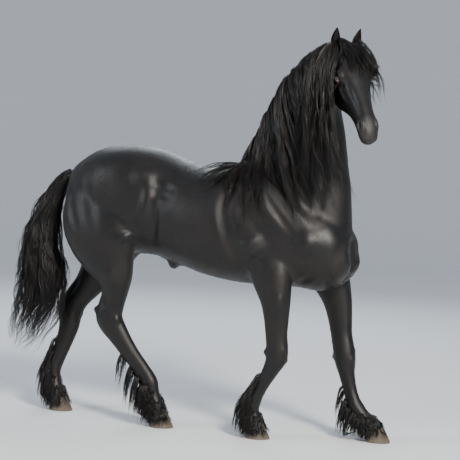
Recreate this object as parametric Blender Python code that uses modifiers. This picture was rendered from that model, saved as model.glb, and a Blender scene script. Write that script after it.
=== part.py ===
"""A friesian stallion at life size, standing with his head turned to his right.

Metres, +Z up.  He faces +X and his right side is towards -Y.  The flesh is lofted from a few
sections, fused by a voxel remesh, worked over with sculpted strokes, and parted by thin cuts.
Mane, forelock, tail and leg feather are flat tapered locks that hang over the flesh.
"""
import math
import random

import bmesh
import bpy
import numpy as np
from mathutils import Matrix, Vector
from mathutils.bvhtree import BVHTree

# The gap that parted pieces keep between their faces.
GAP = 0.0003
# Size of the remesh grid, and how often the creases where limbs run into the body are filled.
VOXEL = 0.008
FILLET_TURNS = 14

# Torso sections from tail to breast: along, top, bottom, half width, height of the widest place.
TORSO = (
    (-1.075, 1.480, 1.260, 0.075, 1.370),
    (-1.000, 1.545, 1.120, 0.180, 1.350),
    (-0.860, 1.620, 1.030, 0.262, 1.360),
    (-0.680, 1.648, 1.000, 0.290, 1.370),
    (-0.500, 1.628, 0.995, 0.285, 1.330),
    (-0.340, 1.575, 0.955, 0.292, 1.260),
    (-0.180, 1.535, 0.905, 0.315, 1.200),
    (0.000, 1.540, 0.875, 0.316, 1.180),
    (0.140, 1.570, 0.868, 0.290, 1.160),
    (0.280, 1.570, 0.870, 0.262, 1.160),
    (0.420, 1.490, 0.865, 0.245, 1.160),
    (0.540, 1.370, 0.855, 0.222, 1.140),
    (0.645, 1.270, 0.890, 0.185, 1.110),
    (0.712, 1.190, 0.970, 0.110, 1.095),
)
# Neck sections from chest to poll: centre, half depth, half width.
NECK = (
    ((0.335, 0.000, 1.220), 0.372, 0.205),
    ((0.362, 0.000, 1.420), 0.328, 0.168),
    ((0.380, -0.012, 1.600), 0.288, 0.140),
    ((0.408, -0.040, 1.770), 0.246, 0.120),
    ((0.450, -0.085, 1.930), 0.195, 0.106),
    ((0.525, -0.135, 2.060), 0.155, 0.094),
    ((0.600, -0.168, 2.145), 0.116, 0.080),
    ((0.665, -0.192, 2.190), 0.075, 0.062),
)
# Leg sections from hip or shoulder to coronet: centre, half depth, half width.
HIND_RIGHT = (
    ((-0.800, -0.120, 1.420), 0.200, 0.110),
    ((-0.800, -0.165, 1.220), 0.250, 0.125),
    ((-0.765, -0.186, 1.080), 0.225, 0.118),
    ((-0.728, -0.186, 0.970), 0.175, 0.098),
    ((-0.690, -0.178, 0.860), 0.115, 0.078),
    ((-0.692, -0.168, 0.760), 0.082, 0.060),
    ((-0.715, -0.160, 0.680), 0.082, 0.052),
    ((-0.722, -0.156, 0.610), 0.084, 0.055),
    ((-0.650, -0.150, 0.505), 0.064, 0.046),
    ((-0.575, -0.147, 0.410), 0.053, 0.039),
    ((-0.508, -0.144, 0.330), 0.052, 0.038),
    ((-0.455, -0.142, 0.258), 0.054, 0.044),
    ((-0.430, -0.140, 0.185), 0.046, 0.041),
    ((-0.405, -0.138, 0.100), 0.056, 0.053),
    ((-0.382, -0.137, 0.040), 0.050, 0.048),
)
HIND_LEFT = (
    ((-0.860, 0.120, 1.420), 0.200, 0.110),
    ((-0.870, 0.165, 1.220), 0.232, 0.125),
    ((-0.895, 0.180, 1.080), 0.212, 0.118),
    ((-0.930, 0.178, 0.970), 0.170, 0.098),
    ((-0.970, 0.172, 0.870), 0.125, 0.078),
    ((-1.035, 0.160, 0.770), 0.092, 0.060),
    ((-1.100, 0.150, 0.690), 0.083, 0.052),
    ((-1.135, 0.142, 0.615), 0.084, 0.055),
    ((-1.135, 0.130, 0.520), 0.068, 0.047),
    ((-1.158, 0.118, 0.420), 0.056, 0.039),
    ((-1.190, 0.106, 0.330), 0.053, 0.038),
    ((-1.215, 0.096, 0.252), 0.053, 0.044),
    ((-1.205, 0.088, 0.180), 0.046, 0.041),
    ((-1.180, 0.082, 0.100), 0.056, 0.053),
    ((-1.158, 0.080, 0.040), 0.050, 0.048),
)
FORE_RIGHT = (
    ((0.260, -0.150, 1.080), 0.165, 0.090),
    ((0.300, -0.182, 0.930), 0.125, 0.082),
    ((0.330, -0.188, 0.800), 0.092, 0.067),
    ((0.338, -0.183, 0.700), 0.076, 0.056),
    ((0.341, -0.176, 0.600), 0.066, 0.050),
    ((0.347, -0.172, 0.530), 0.066, 0.054),
    ((0.345, -0.170, 0.470), 0.064, 0.056),
    ((0.316, -0.167, 0.405), 0.050, 0.044),
    ((0.278, -0.164, 0.335), 0.042, 0.036),
    ((0.238, -0.161, 0.270), 0.044, 0.038),
    ((0.207, -0.159, 0.208), 0.052, 0.044),
    ((0.205, -0.158, 0.155), 0.045, 0.041),
    ((0.214, -0.156, 0.095), 0.056, 0.053),
    ((0.230, -0.155, 0.040), 0.050, 0.048),
)
FORE_LEFT = (
    ((0.430, 0.150, 1.090), 0.165, 0.090),
    ((0.515, 0.182, 0.940), 0.125, 0.082),
    ((0.570, 0.188, 0.810), 0.092, 0.067),
    ((0.596, 0.183, 0.700), 0.075, 0.056),
    ((0.613, 0.176, 0.600), 0.065, 0.050),
    ((0.632, 0.172, 0.515), 0.066, 0.054),
    ((0.645, 0.170, 0.450), 0.064, 0.056),
    ((0.660, 0.166, 0.375), 0.049, 0.044),
    ((0.684, 0.163, 0.290), 0.042, 0.036),
    ((0.707, 0.160, 0.225), 0.044, 0.038),
    ((0.732, 0.158, 0.175), 0.052, 0.044),
    ((0.775, 0.156, 0.135), 0.045, 0.041),
    ((0.818, 0.155, 0.095), 0.056, 0.053),
    ((0.852, 0.154, 0.040), 0.050, 0.048),
)
# Sculpted strokes of the trunk, on both sides: path, reach, height.  They raise or sink the skin.
TRUNK_STROKES = (
    (((-0.50, -0.24, 1.47),), 0.10, 0.014),
    (((-0.62, -0.18, 1.54), (-0.82, -0.18, 1.46)), 0.17, 0.012),
    (((-0.35, -0.24, 1.44), (-0.39, -0.27, 1.33)), 0.11, -0.018),
    (((-0.45, -0.26, 1.40), (-0.475, -0.27, 1.26), (-0.51, -0.27, 1.14)), 0.050, 0.012),
    (((-0.405, -0.28, 1.32), (-0.42, -0.28, 1.18), (-0.455, -0.26, 1.06)), 0.050, -0.015),
    (((-0.99, -0.14, 1.44), (-0.95, -0.20, 1.28), (-0.88, -0.23, 1.12)), 0.045, -0.009),
    (((-0.86, -0.22, 1.46), (-0.83, -0.26, 1.30), (-0.77, -0.27, 1.14)), 0.050, -0.006),
    (((-1.02, -0.10, 1.40), (-1.02, -0.12, 1.28)), 0.14, 0.016),
    (((0.05, -0.20, 1.47), (0.03, -0.27, 1.30), (0.08, -0.28, 1.12), (0.15, -0.26, 1.00)), 0.065, -0.012),
    (((0.12, -0.18, 1.45), (0.24, -0.21, 1.32), (0.38, -0.22, 1.18)), 0.11, 0.014),
    (((0.15, -0.17, 1.48), (0.30, -0.20, 1.30), (0.42, -0.22, 1.18)), 0.030, -0.005),
    (((0.16, -0.26, 1.15), (0.23, -0.26, 1.03)), 0.12, 0.024),
    (((0.19, -0.25, 0.97),), 0.055, 0.012),
    (((0.51, -0.19, 1.13),), 0.10, 0.022),
    (((0.22, -0.15, 1.56), (0.42, -0.19, 1.38), (0.56, -0.18, 1.24)), 0.055, -0.012),
    (((0.64, -0.07, 1.08), (0.60, -0.08, 0.98)), 0.10, 0.022),
    (((0.69, 0.0, 1.15), (0.68, 0.0, 1.04), (0.62, 0.0, 0.93)), 0.040, -0.020),
    (((0.54, -0.13, 0.99), (0.45, -0.12, 0.91)), 0.035, -0.010),
    (((-0.43, 0.0, 0.96), (-0.35, 0.0, 0.95)), 0.075, 0.050),
    (((0.53, -0.11, 1.28), (0.55, -0.10, 1.52), (0.56, -0.13, 1.78), (0.60, -0.18, 1.98)), 0.040, -0.010),
)
RIBS = 7
# Strokes on a limb: place along its sections, ahead, outwards, as shares of the half sizes.
HIND_STROKES = (
    (((2.0, 0.80, 0.6), (2.4, 0.9, 0.5)), 0.090, 0.016),
    (((3.6, 0.1, 1.0), (4.4, 0.1, 1.0)), 0.070, 0.012),
    (((4.9, -0.55, 0.8), (6.0, -0.45, 0.8)), 0.024, -0.010),
    (((4.9, -0.55, -0.8), (6.0, -0.45, -0.8)), 0.024, -0.010),
    (((6.55, -1.0, 0.0),), 0.036, 0.022),
    (((7.3, 0.7, 0.5),), 0.035, 0.008),
    (((7.4, 0.5, -0.8),), 0.035, 0.008),
    (((8.1, -0.35, 0.9), (10.4, -0.3, 0.9)), 0.015, -0.006),
    (((8.1, -0.35, -0.9), (10.4, -0.3, -0.9)), 0.015, -0.006),
    (((11.0, -0.8, 0.0),), 0.035, 0.010),
)
FORE_STROKES = (
    (((1.8, 0.5, 0.9), (2.8, 0.5, 0.9)), 0.050, 0.010),
    (((1.4, -0.15, 1.0), (4.0, -0.1, 1.0)), 0.022, -0.007),
    (((5.2, 0.8, 0.5),), 0.028, 0.006),
    (((5.9, 0.8, -0.4),), 0.028, 0.006),
    (((5.5, -1.0, 0.1),), 0.032, 0.016),
    (((6.8, -0.3, 0.9), (9.0, -0.25, 0.9)), 0.014, -0.006),
    (((6.8, -0.3, -0.9), (9.0, -0.25, -0.9)), 0.014, -0.006),
    (((10.0, -0.8, 0.0),), 0.032, 0.010),
)

# The head's place and attitude: poll, turn from straight at the viewer's side, droop, tilt.
POLL = Vector((0.680, -0.200, 2.253))
HEAD_TURN = math.radians(36.5)
HEAD_DROOP = math.radians(38.2)
HEAD_TILT = math.radians(5)
# Head sections from poll to lips: along, top, bottom, half width, height of the widest place.
HEAD = (
    (-0.045, -0.045, -0.130, 0.034, -0.090),
    (-0.010, -0.008, -0.165, 0.064, -0.075),
    (0.050, 0.018, -0.205, 0.082, -0.060),
    (0.120, 0.030, -0.245, 0.092, -0.048),
    (0.190, 0.032, -0.262, 0.097, -0.042),
    (0.260, 0.026, -0.250, 0.088, -0.045),
    (0.330, 0.018, -0.205, 0.072, -0.050),
    (0.400, 0.012, -0.165, 0.060, -0.052),
    (0.470, 0.007, -0.142, 0.053, -0.052),
    (0.530, 0.001, -0.132, 0.054, -0.050),
    (0.580, -0.012, -0.130, 0.052, -0.060),
    (0.618, -0.034, -0.120, 0.040, -0.072),
    (0.634, -0.056, -0.100, 0.020, -0.076),
)
# Strokes of the head, on both sides: path (along, up, out), reach, height.
HEAD_STROKES = (
    (((0.14, -0.14, 0.08), (0.20, -0.17, 0.08)), 0.090, 0.013),
    (((0.235, -0.075, 0.085), (0.30, -0.078, 0.072), (0.355, -0.078, 0.060)), 0.020, 0.008),
    (((0.180, -0.020, 0.085), (0.210, -0.008, 0.088), (0.250, -0.016, 0.082)), 0.026, 0.010),
    (((0.150, -0.008, 0.075),), 0.028, -0.010),
    (((0.275, -0.035, 0.075),), 0.030, -0.006),
    (((0.10, -0.235, 0.04), (0.25, -0.245, 0.045), (0.37, -0.185, 0.035)), 0.024, 0.006),
    (((0.14, -0.26, 0.0), (0.40, -0.17, 0.0)), 0.030, -0.014),
    (((0.30, -0.008, 0.048), (0.46, -0.014, 0.040)), 0.020, -0.004),
    (((0.005, -0.045, 0.060),), 0.040, 0.012),
    (((0.050, -0.100, 0.080), (0.090, -0.180, 0.080)), 0.035, -0.010),
    (((0.515, -0.018, 0.045), (0.555, -0.016, 0.042), (0.580, -0.040, 0.046)), 0.020, 0.009),
    (((0.520, -0.048, 0.058), (0.560, -0.062, 0.052)), 0.020, 0.007),
    (((0.60, -0.066, 0.030), (0.622, -0.070, 0.0)), 0.030, 0.006),
    (((0.580, -0.122, 0.030), (0.600, -0.118, 0.0)), 0.024, 0.007),
    (((0.560, -0.138, 0.0),), 0.034, 0.010),
)
# The fine ones, cut into the finest part of the mesh: nostril pockets and the line of the mouth.
HEAD_CUTS = (
    (((0.530, -0.030, 0.056), (0.552, -0.034, 0.054), (0.566, -0.048, 0.052)), 0.0125, -0.016),
    (((0.510, -0.100, 0.052), (0.55, -0.104, 0.050), (0.59, -0.100, 0.044), (0.62, -0.092, 0.026), (0.634, -0.088, 0)),
     0.0075, -0.007),
)
# Half length and half height of the opening between the lids, and how far the lids stand off.
EYE_OPENING = (0.0195, 0.0125)
LID = 0.0032

# Ear: length, half width, depth of the cup, thickness of the rim.
EAR = (0.124, 0.029, 0.025, 0.0055)
EAR_BASE = (0.008, -0.038, 0.056)
# Its sections: share of the length, width, depth, half angle of the wall, hollow.
EAR_ROWS = (
    (-0.20, 0.70, 0.80, 170, 0.25),
    (0.00, 0.80, 0.95, 165, 0.30),
    (0.15, 0.92, 1.02, 150, 0.70),
    (0.35, 1.00, 1.00, 125, 0.90),
    (0.55, 0.90, 0.85, 108, 0.90),
    (0.75, 0.64, 0.62, 98, 0.90),
    (0.90, 0.34, 0.36, 92, 0.85),
    (1.00, 0.08, 0.10, 90, 0.50),
)
EAR_SIDES = 8
HOOF_SIDES = 18

# Where the flesh is parted: the neck's plane (a spot and its normal), the line from the poll to the
# throat and the way its cut runs across, and four levels.
NECK_CUT = ((0.03, 0.0, 1.615), (0.531, 0.0, 0.847))
POLL_CUT = ((-0.045, -0.010, 0.0), (0.150, -0.260, 0.0))
POLL_CUT_ACROSS = (0.62, 0.78, 0.0)
JAW_CUT_AHEAD = (0.35, -0.47, -0.81)
ELBOW_CUT, STIFLE_CUT, KNEE_CUT, HOCK_CUT = 0.820, 0.960, 0.490, 0.585
# Triangles left in the flesh, and how strongly its fine parts are spared.
FLESH_FACES = 3800
DETAIL_FACTOR = 0.25

# The crest from withers to poll, where the mane is rooted: places, and which way it leans.
CREST = (
    ((0.06, 0.0, 1.64), (-0.8, -0.3, 0.5)),
    ((0.12, -0.010, 1.80), (-0.9, -0.3, 0.4)),
    ((0.22, -0.040, 1.98), (-0.8, -0.3, 0.5)),
    ((0.34, -0.085, 2.11), (-0.6, -0.3, 0.7)),
    ((0.46, -0.130, 2.19), (-0.4, -0.3, 0.8)),
    ((0.58, -0.165, 2.24), (-0.2, -0.3, 0.9)),
    ((0.63, -0.185, 2.26), (0.0, -0.3, 1.0)),
)
# Length of the mane's locks along the crest.
MANE_LENGTHS = ((0.0, 0.46), (0.15, 0.62), (0.35, 0.80), (0.6, 0.90), (0.8, 0.86), (1.0, 0.66))
# How far forward the falling locks drift, along the crest.
MANE_DRIFT = ((0.0, -0.30), (0.12, 0.0), (0.30, 0.35), (0.55, 0.45), (0.75, 0.16), (0.88, 0.0), (1.0, -0.08))
MANE_LOCKS, MANE_WIDTH, MANE_SEED = 18, 0.100, 11
FORELOCK_LOCKS, FORELOCK_SEED = 8, 5
TAIL_LOCKS, TAIL_WIDTH = 14, 0.120
# How far down the tail its core goes, as a share of its length.
TAIL_CORE = 0.55
# Rows of feather: sections above the coronet, locks, length, half the arc in degrees from the back,
# and how far they stand off at the end.
FEATHER_ROWS = ((0.7, 5, 0.11, 165, 0.018), (2.2, 4, 0.20, 105, 0.036), (4.0, 2, 0.24, 36, 0.028))
FEATHER_WIDTH = 0.085
FEATHER_SEEDS = {"fore_right": 2, "fore_left": 13, "hind_right": 3, "hind_left": 3}
# How deep locks are rooted, the solver that joins them, and the lowest that hair may hang.
ROOT_DEPTH = 0.020
FIRST_CLEAR = 0.010
LOCK_SOLVER = "MANIFOLD"
TOUCHING = 0.00001
FLOOR_CLEAR = 0.006
# The tail with its hair, as sections like a limb's.
TAIL = (
    ((-1.080, 0.000, 1.450), 0.045, 0.050),
    ((-1.150, -0.002, 1.400), 0.062, 0.062),
    ((-1.200, -0.006, 1.320), 0.074, 0.076),
    ((-1.238, -0.012, 1.220), 0.088, 0.088),
    ((-1.266, -0.020, 1.100), 0.112, 0.096),
    ((-1.270, -0.030, 0.980), 0.145, 0.098),
    ((-1.248, -0.038, 0.850), 0.180, 0.098),
    ((-1.252, -0.044, 0.720), 0.185, 0.095),
    ((-1.285, -0.046, 0.590), 0.172, 0.088),
    ((-1.340, -0.046, 0.470), 0.140, 0.072),
    ((-1.400, -0.044, 0.355), 0.085, 0.042),
)
# Hooves, with the middle of each sole.
HOOF_LENGTH, HOOF_WIDTH, HOOF_HEIGHT = 0.148, 0.136, 0.082
HOOVES = {
    "fore_right": (0.245, -0.155),
    "fore_left": (0.868, 0.154),
    "hind_right": (-0.368, -0.136),
    "hind_left": (-1.142, 0.079),
}
LEGS = {"fore_right": FORE_RIGHT, "fore_left": FORE_LEFT, "hind_right": HIND_RIGHT, "hind_left": HIND_LEFT}

EYE_PLACE = (0.222, -0.044, 0.0885)
EYE_RADIUS = 0.0215

# Finishes by how a node's name starts: colour and roughness.
FINISHES = (
    ("hoof", (0.120, 0.095, 0.070), 0.65),
    ("eye", (0.020, 0.010, 0.006), 0.08),
    ("tail", (0.006, 0.005, 0.005), 0.38),
    ("", (0.010, 0.008, 0.007), 0.42),
)

# Sides of each loft's sections, and rings put between two named sections.
RING_SIDES = 56
RINGS_BETWEEN = 4


def clear_scene():
    for thing in list(bpy.data.objects):
        bpy.data.objects.remove(thing)


def collection(name):
    made = bpy.data.collections.new(name)
    bpy.context.scene.collection.children.link(made)
    return made


def smooth_rows(rows, between):
    """Rows of numbers with Catmull-Rom rows put between them."""
    rows = np.array(rows, float)
    padded = np.vstack([2 * rows[0] - rows[1], rows, 2 * rows[-1] - rows[-2]])
    made = []
    for i in range(1, len(padded) - 2):
        a, b, c, d = padded[i - 1 : i + 3]
        for step in range(between):
            t = step / between
            made.append(
                0.5 * (2 * b + (c - a) * t + (2 * a - 5 * b + 4 * c - d) * t**2 + (3 * b - a - 3 * c + d) * t**3)
            )
    made.append(rows[-1])
    return np.array(made)


def section(centre, side, up, half_width, above, below, power, sides=RING_SIDES):
    """One closed ring of points, a rounded oval that may reach further up than down."""
    ring = []
    for i in range(sides):
        turn = 2 * math.pi * i / sides
        c, s = math.cos(turn), math.sin(turn)
        across = half_width * math.copysign(abs(c) ** (2 / power), c)
        height = (above if s > 0 else below) * math.copysign(abs(s) ** (2 / power), s)
        ring.append(Vector(centre) + side * across + up * height)
    return ring


def loft(rings):
    """A closed mesh through rings of equally many points."""
    mesh = bmesh.new()
    loops = [[mesh.verts.new(point) for point in ring] for ring in rings]
    for first, second in zip(loops, loops[1:]):
        for i in range(len(first)):
            j = (i + 1) % len(first)
            mesh.faces.new((first[i], first[j], second[j], second[i]))
    mesh.faces.new(reversed(loops[0]))
    mesh.faces.new(loops[-1])
    bmesh.ops.recalc_face_normals(mesh, faces=mesh.faces)
    return mesh


def add_object(name, mesh, group):
    """A named object from a bmesh, which is freed."""
    data = bpy.data.meshes.new(name)
    mesh.to_mesh(data)
    mesh.free()
    made = bpy.data.objects.new(name, data)
    group.objects.link(made)
    return made


def torso_rings():
    side, up = Vector((0, 1, 0)), Vector((0, 0, 1))
    rows = smooth_rows(TORSO, RINGS_BETWEEN)
    return [section((x, 0, wide), side, up, half, top - wide, wide - low, 2.15) for x, top, low, half, wide in rows]


def limb_frames(sections):
    """Centre, side axis, forward axis, half depth and half width of each ring along a limb."""
    rows = smooth_rows([(*centre, depth, width) for centre, depth, width in sections], RINGS_BETWEEN)
    centres = [Vector(row[:3]) for row in rows]
    frames = []
    for i, row in enumerate(rows):
        along = (centres[min(i + 1, len(rows) - 1)] - centres[max(i - 1, 0)]).normalized()
        side = Vector((0, 1, 0))
        side = (side - along * side.dot(along)).normalized()
        forward = side.cross(along)
        forward = forward if forward.x > 0 else -forward
        frames.append((centres[i], side, forward, row[3], row[4]))
    return frames


def limb_rings(sections, power=2.1):
    return [section(c, side, ahead, width, depth, depth, power) for c, side, ahead, depth, width in limb_frames(sections)]


def head_axes():
    """Unit vectors along the face, up out of the forehead, and out to the left."""
    facing = Vector((math.sin(HEAD_TURN), -math.cos(HEAD_TURN), 0))
    down = Vector((0, 0, -1))
    along = facing * math.sin(HEAD_DROOP) + down * math.cos(HEAD_DROOP)
    brow = facing * math.cos(HEAD_DROOP) - down * math.sin(HEAD_DROOP)
    left = Vector((math.cos(HEAD_TURN), math.sin(HEAD_TURN), 0))
    tilt = Matrix.Rotation(HEAD_TILT, 3, brow)
    return tilt @ along, brow, tilt @ left


def head_point(along, up, out):
    axis, brow, left = head_axes()
    return POLL + axis * along + brow * up + left * out


def head_rings():
    axis, brow, left = head_axes()
    rows = smooth_rows(HEAD, RINGS_BETWEEN)
    return [
        section(POLL + axis * at + brow * wide, left, brow, half, top - wide, wide - low, 2.25)
        for at, top, low, half, wide in rows
    ]


def joined(meshes):
    """One bmesh holding all of these, which are freed."""
    whole = bmesh.new()
    for mesh in meshes:
        data = bpy.data.meshes.new("joined")
        mesh.to_mesh(data)
        mesh.free()
        whole.from_mesh(data)
        bpy.data.meshes.remove(data)
    return whole


def points_of(data):
    points = np.empty(len(data.vertices) * 3)
    data.vertices.foreach_get("co", points)
    return points.reshape(-1, 3)


def normals_of(data):
    normals = np.empty(len(data.vertices) * 3)
    data.vertex_normals.foreach_get("vector", normals)
    return normals.reshape(-1, 3)


def set_points(data, points):
    data.vertices.foreach_set("co", points.ravel())
    data.update()


def evaluated(thing):
    graph = bpy.context.evaluated_depsgraph_get()
    return bpy.data.meshes.new_from_object(thing.evaluated_get(graph))


def apply_modifiers(thing):
    data = evaluated(thing)
    thing.modifiers.clear()
    old, thing.data = thing.data, data
    bpy.data.meshes.remove(old)


def remeshed(thing, voxel):
    modifier = thing.modifiers.new("Remesh", "REMESH")
    modifier.mode = "VOXEL"
    modifier.voxel_size = voxel
    apply_modifiers(thing)


def neighbour_pairs(data):
    edges = np.empty(len(data.edges) * 2, int)
    data.edges.foreach_get("vertices", edges)
    return edges.reshape(-1, 2).T


def neighbour_middle(points, pairs):
    """The middle of each point's neighbours."""
    a, b = pairs
    count = np.bincount(a, minlength=len(points)) + np.bincount(b, minlength=len(points))
    middle = np.empty_like(points)
    for k in range(3):
        middle[:, k] = np.bincount(a, points[b, k], len(points)) + np.bincount(b, points[a, k], len(points))
    return middle / count[:, None]


def smoothed(thing, turns, weights=None):
    """Evens out the surface without shrinking it."""
    points, pairs = points_of(thing.data), neighbour_pairs(thing.data)
    for turn in range(turns):
        for factor in (0.5, -0.52):
            move = (neighbour_middle(points, pairs) - points) * factor
            points += move if weights is None else move * weights[:, None]
    set_points(thing.data, points)


def filleted(thing, turns):
    """Fills the creases where lofts meet: only points that sink below their neighbours move."""
    pairs = neighbour_pairs(thing.data)
    for turn in range(turns):
        points, normals = points_of(thing.data), normals_of(thing.data)
        for again in range(4):
            move = neighbour_middle(points, pairs) - points
            rise = (move * normals).sum(1)
            points += move * np.clip(rise * 2500, 0, 1)[:, None] * 0.9
        set_points(thing.data, points)


def path_distance(points, path):
    """Distance of each point from a broken line, and the share of the line that lies before it."""
    best, place = np.full(len(points), 1e9), np.full(len(points), 0.5)
    if len(path) == 1:
        return np.linalg.norm(points - path[0], axis=1), place
    for i, (start, end) in enumerate(zip(path, path[1:])):
        run = end - start
        share = np.clip(((points - start) @ run) / (run @ run), 0, 1)
        away = np.linalg.norm(points - start - share[:, None] * run, axis=1)
        closer = away < best
        best[closer], place[closer] = away[closer], (i + share[closer]) / (len(path) - 1)
    return best, place


def stroke(points, normals, path, reach, height):
    """Moves the points near a path along their normals, less towards its ends."""
    path = np.array(path, float)
    if len(path) > 2:
        path = smooth_rows(path, 4)
    low, high = path.min(0) - reach, path.max(0) + reach
    near = np.flatnonzero(((points > low) & (points < high)).all(1))
    if len(near) == 0:
        return
    away, place = path_distance(points[near], path)
    weight = np.clip(1 - (away / reach) ** 2, 0, 1) ** 2
    weight *= np.clip(0.3 + 2.4 * np.minimum(place, 1 - place), 0, 1)
    points[near] += normals[near] * (height * weight)[:, None]


def on_skin(points, path):
    """The path with each of its points put at the nearest point of the skin."""
    return [points[np.argmin(((points - spot) ** 2).sum(1))] for spot in np.array(path, float)]


def limb_point(frames, along, ahead, outwards, side):
    centre, across, forward, depth, width = frames[min(int(round(along * RINGS_BETWEEN)), len(frames) - 1)]
    return centre + forward * ahead * depth + across * outwards * side * width


def sculpt_body(data):
    points, normals = points_of(data), normals_of(data)
    for path, reach, height in TRUNK_STROKES:
        for side in (1, -1):
            placed = on_skin(points, [(x, y * side, z) for x, y, z in path])
            stroke(points, normals, placed, reach, height / (2 if path[0][1] == 0 else 1))
    for i in range(RIBS):
        for side in (1, -1):
            x = -0.30 + 0.055 * i
            placed = on_skin(points, [(x, 0.28 * side, 1.34), (x + 0.02, 0.31 * side, 1.18), (x + 0.05, 0.28 * side, 1.02)])
            stroke(points, normals, placed, 0.026, 0.003)
    for name, sections in LEGS.items():
        frames, side = limb_frames(sections), 1 if "left" in name else -1
        for path, reach, height in HIND_STROKES if "hind" in name else FORE_STROKES:
            placed = on_skin(points, [limb_point(frames, *spot, side) for spot in path])
            stroke(points, normals, placed, reach, height)
    set_points(data, points)


def sculpt_head(data, strokes):
    points, normals = points_of(data), normals_of(data)
    for path, reach, height in strokes:
        for side in (1, -1):
            placed = on_skin(points, [head_point(along, up, side * out) for along, up, out in path])
            stroke(points, normals, placed, reach, height / (2 if path[-1][2] == 0 == path[0][2] else 1))
    set_points(data, points)


def set_eyelids(data):
    """Lays the lids over each eyeball and opens an almond between them."""
    points = points_of(data)
    axis, brow, left = head_axes()
    half_long, half_high = EYE_OPENING
    for side in (1, -1):
        eye = np.array(head_point(EYE_PLACE[0], EYE_PLACE[1], side * EYE_PLACE[2]))
        out = (left * side * 0.94 + axis * 0.28 + brow * 0.18).normalized()
        long = (axis - out * axis.dot(out)).normalized()
        high = long.cross(out) * side
        high = high if high.dot(brow) > 0 else -high
        long, high = long * 0.97 - high * 0.24, high * 0.97 + long * 0.24
        from_eye = points - eye
        span = np.linalg.norm(from_eye, axis=1)
        near = (span < EYE_RADIUS * 2) & (from_eye @ np.array(out) > 0)
        spot = from_eye[near]
        u, v, reach = spot @ np.array(long), spot @ np.array(high), span[near]
        almond = (u / half_long) ** 2 + (np.abs(v) / (half_high * (1 - 0.25 * (v < 0)))) ** 1.7
        outside = np.clip((almond - 0.92) / 0.35, 0, 1)
        fade = np.clip((EYE_RADIUS * 1.9 - reach) / (EYE_RADIUS * 0.7), 0, 1)
        crease = np.exp(-(((almond - 2.6) / 0.5) ** 2)) * 0.0025
        lid = EYE_RADIUS + LID * (1 + 0.5 * np.exp(-(((almond - 1.35) / 0.3) ** 2))) - crease
        shell = np.where(almond < 2.2, lid, np.maximum(reach, lid))
        wanted = outside * shell + (1 - outside) * (EYE_RADIUS - 0.005)
        wanted = fade * wanted + (1 - fade) * reach
        points[near] = eye + spot * (wanted / reach)[:, None]
    set_points(data, points)


def refined(thing, test):
    """Halves the edges in the part of a mesh that a test on its points picks out."""
    mesh = bmesh.new()
    mesh.from_mesh(thing.data)
    picked = test(points_of(thing.data))
    edges = [edge for edge in mesh.edges if picked[edge.verts[0].index] and picked[edge.verts[1].index]]
    bmesh.ops.subdivide_edges(mesh, edges=edges, cuts=1, use_grid_fill=True)
    bmesh.ops.triangulate(mesh, faces=[face for face in mesh.faces if len(face.verts) > 4])
    mesh.to_mesh(thing.data)
    mesh.free()


def near_head(points):
    axis = np.array(head_axes()[0])
    return ((points - np.array(POLL)) @ axis > -0.02) & (points[:, 2] > 1.60) & (points[:, 0] > 0.55)


def near_details(points):
    """The surroundings of the eyes, and the muzzle."""
    frame = np.array(head_axes())
    along, up, out = ((points - np.array(POLL)) @ frame.T).T
    eye = (np.abs(along - EYE_PLACE[0]) < 0.045) & (np.abs(up - EYE_PLACE[1]) < 0.04) & (np.abs(out) > 0.05)
    return (eye | (along > 0.49)) & near_head(points)


def flesh_object(group):
    """The whole of the flesh as one closed surface."""
    shells = [loft(torso_rings()), loft(limb_rings(NECK, 2.2)), loft(head_rings())]
    shells += [loft(limb_rings(leg)) for leg in LEGS.values()]
    flesh = add_object("flesh", joined(shells), group)
    remeshed(flesh, VOXEL)
    smoothed(flesh, 4)
    filleted(flesh, FILLET_TURNS)
    smoothed(flesh, 6)
    sculpt_body(flesh.data)
    refined(flesh, near_head)
    sculpt_head(flesh.data, HEAD_STROKES)
    refined(flesh, near_details)
    smoothed(flesh, 2)
    sculpt_head(flesh.data, HEAD_CUTS)
    set_eyelids(flesh.data)
    return flesh


def lightened(thing, faces):
    """Fewer triangles, with the fine parts of the head thinned least."""
    points = points_of(thing.data)
    group = thing.vertex_groups.new(name="coarse")
    head, details = near_head(points), near_details(points)
    for picked, weight in ((~head, 1.0), (head & ~details, 0.55), (details, 0.3)):
        group.add(np.flatnonzero(picked).tolist(), weight, "REPLACE")
    modifier = thing.modifiers.new("Decimate", "DECIMATE")
    modifier.ratio = faces / (2 * len(thing.data.vertices))
    modifier.use_collapse_triangulate = True
    modifier.vertex_group = group.name
    modifier.vertex_group_factor = DETAIL_FACTOR
    apply_modifiers(thing)


def copied(thing, name, group):
    made = thing.copy()
    made.data = thing.data.copy()
    made.name = name
    group.objects.link(made)
    return made


def removed(*things):
    for thing in things:
        bpy.data.objects.remove(thing)


def carved(thing, cutter, operation, solver="EXACT"):
    modifier = thing.modifiers.new("Carve", "BOOLEAN")
    modifier.operation, modifier.solver, modifier.object = operation, solver, cutter
    apply_modifiers(thing)


def block(name, low, high, cutters, turn=Matrix()):
    """A box cutter between two corners, turned about the origin of its own frame."""
    mesh = bmesh.new()
    bmesh.ops.create_cube(mesh, size=1)
    low, high = Vector(low), Vector(high)
    place = turn @ Matrix.Translation((low + high) / 2) @ Matrix.Diagonal((*(high - low), 1))
    bmesh.ops.transform(mesh, matrix=place, verts=mesh.verts)
    made = add_object(name, mesh, cutters)
    made.hide_render, made.display_type = True, "WIRE"
    return made


def plane_frame(spot, normal, level):
    """A frame whose Z axis is a plane's normal and whose X axis is as near to level as it can be."""
    z = Vector(normal).normalized()
    x = (Vector(level) - z * z.dot(Vector(level))).normalized()
    frame = Matrix((x, z.cross(x), z)).transposed().to_4x4()
    frame.translation = Vector(spot)
    return frame


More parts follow.
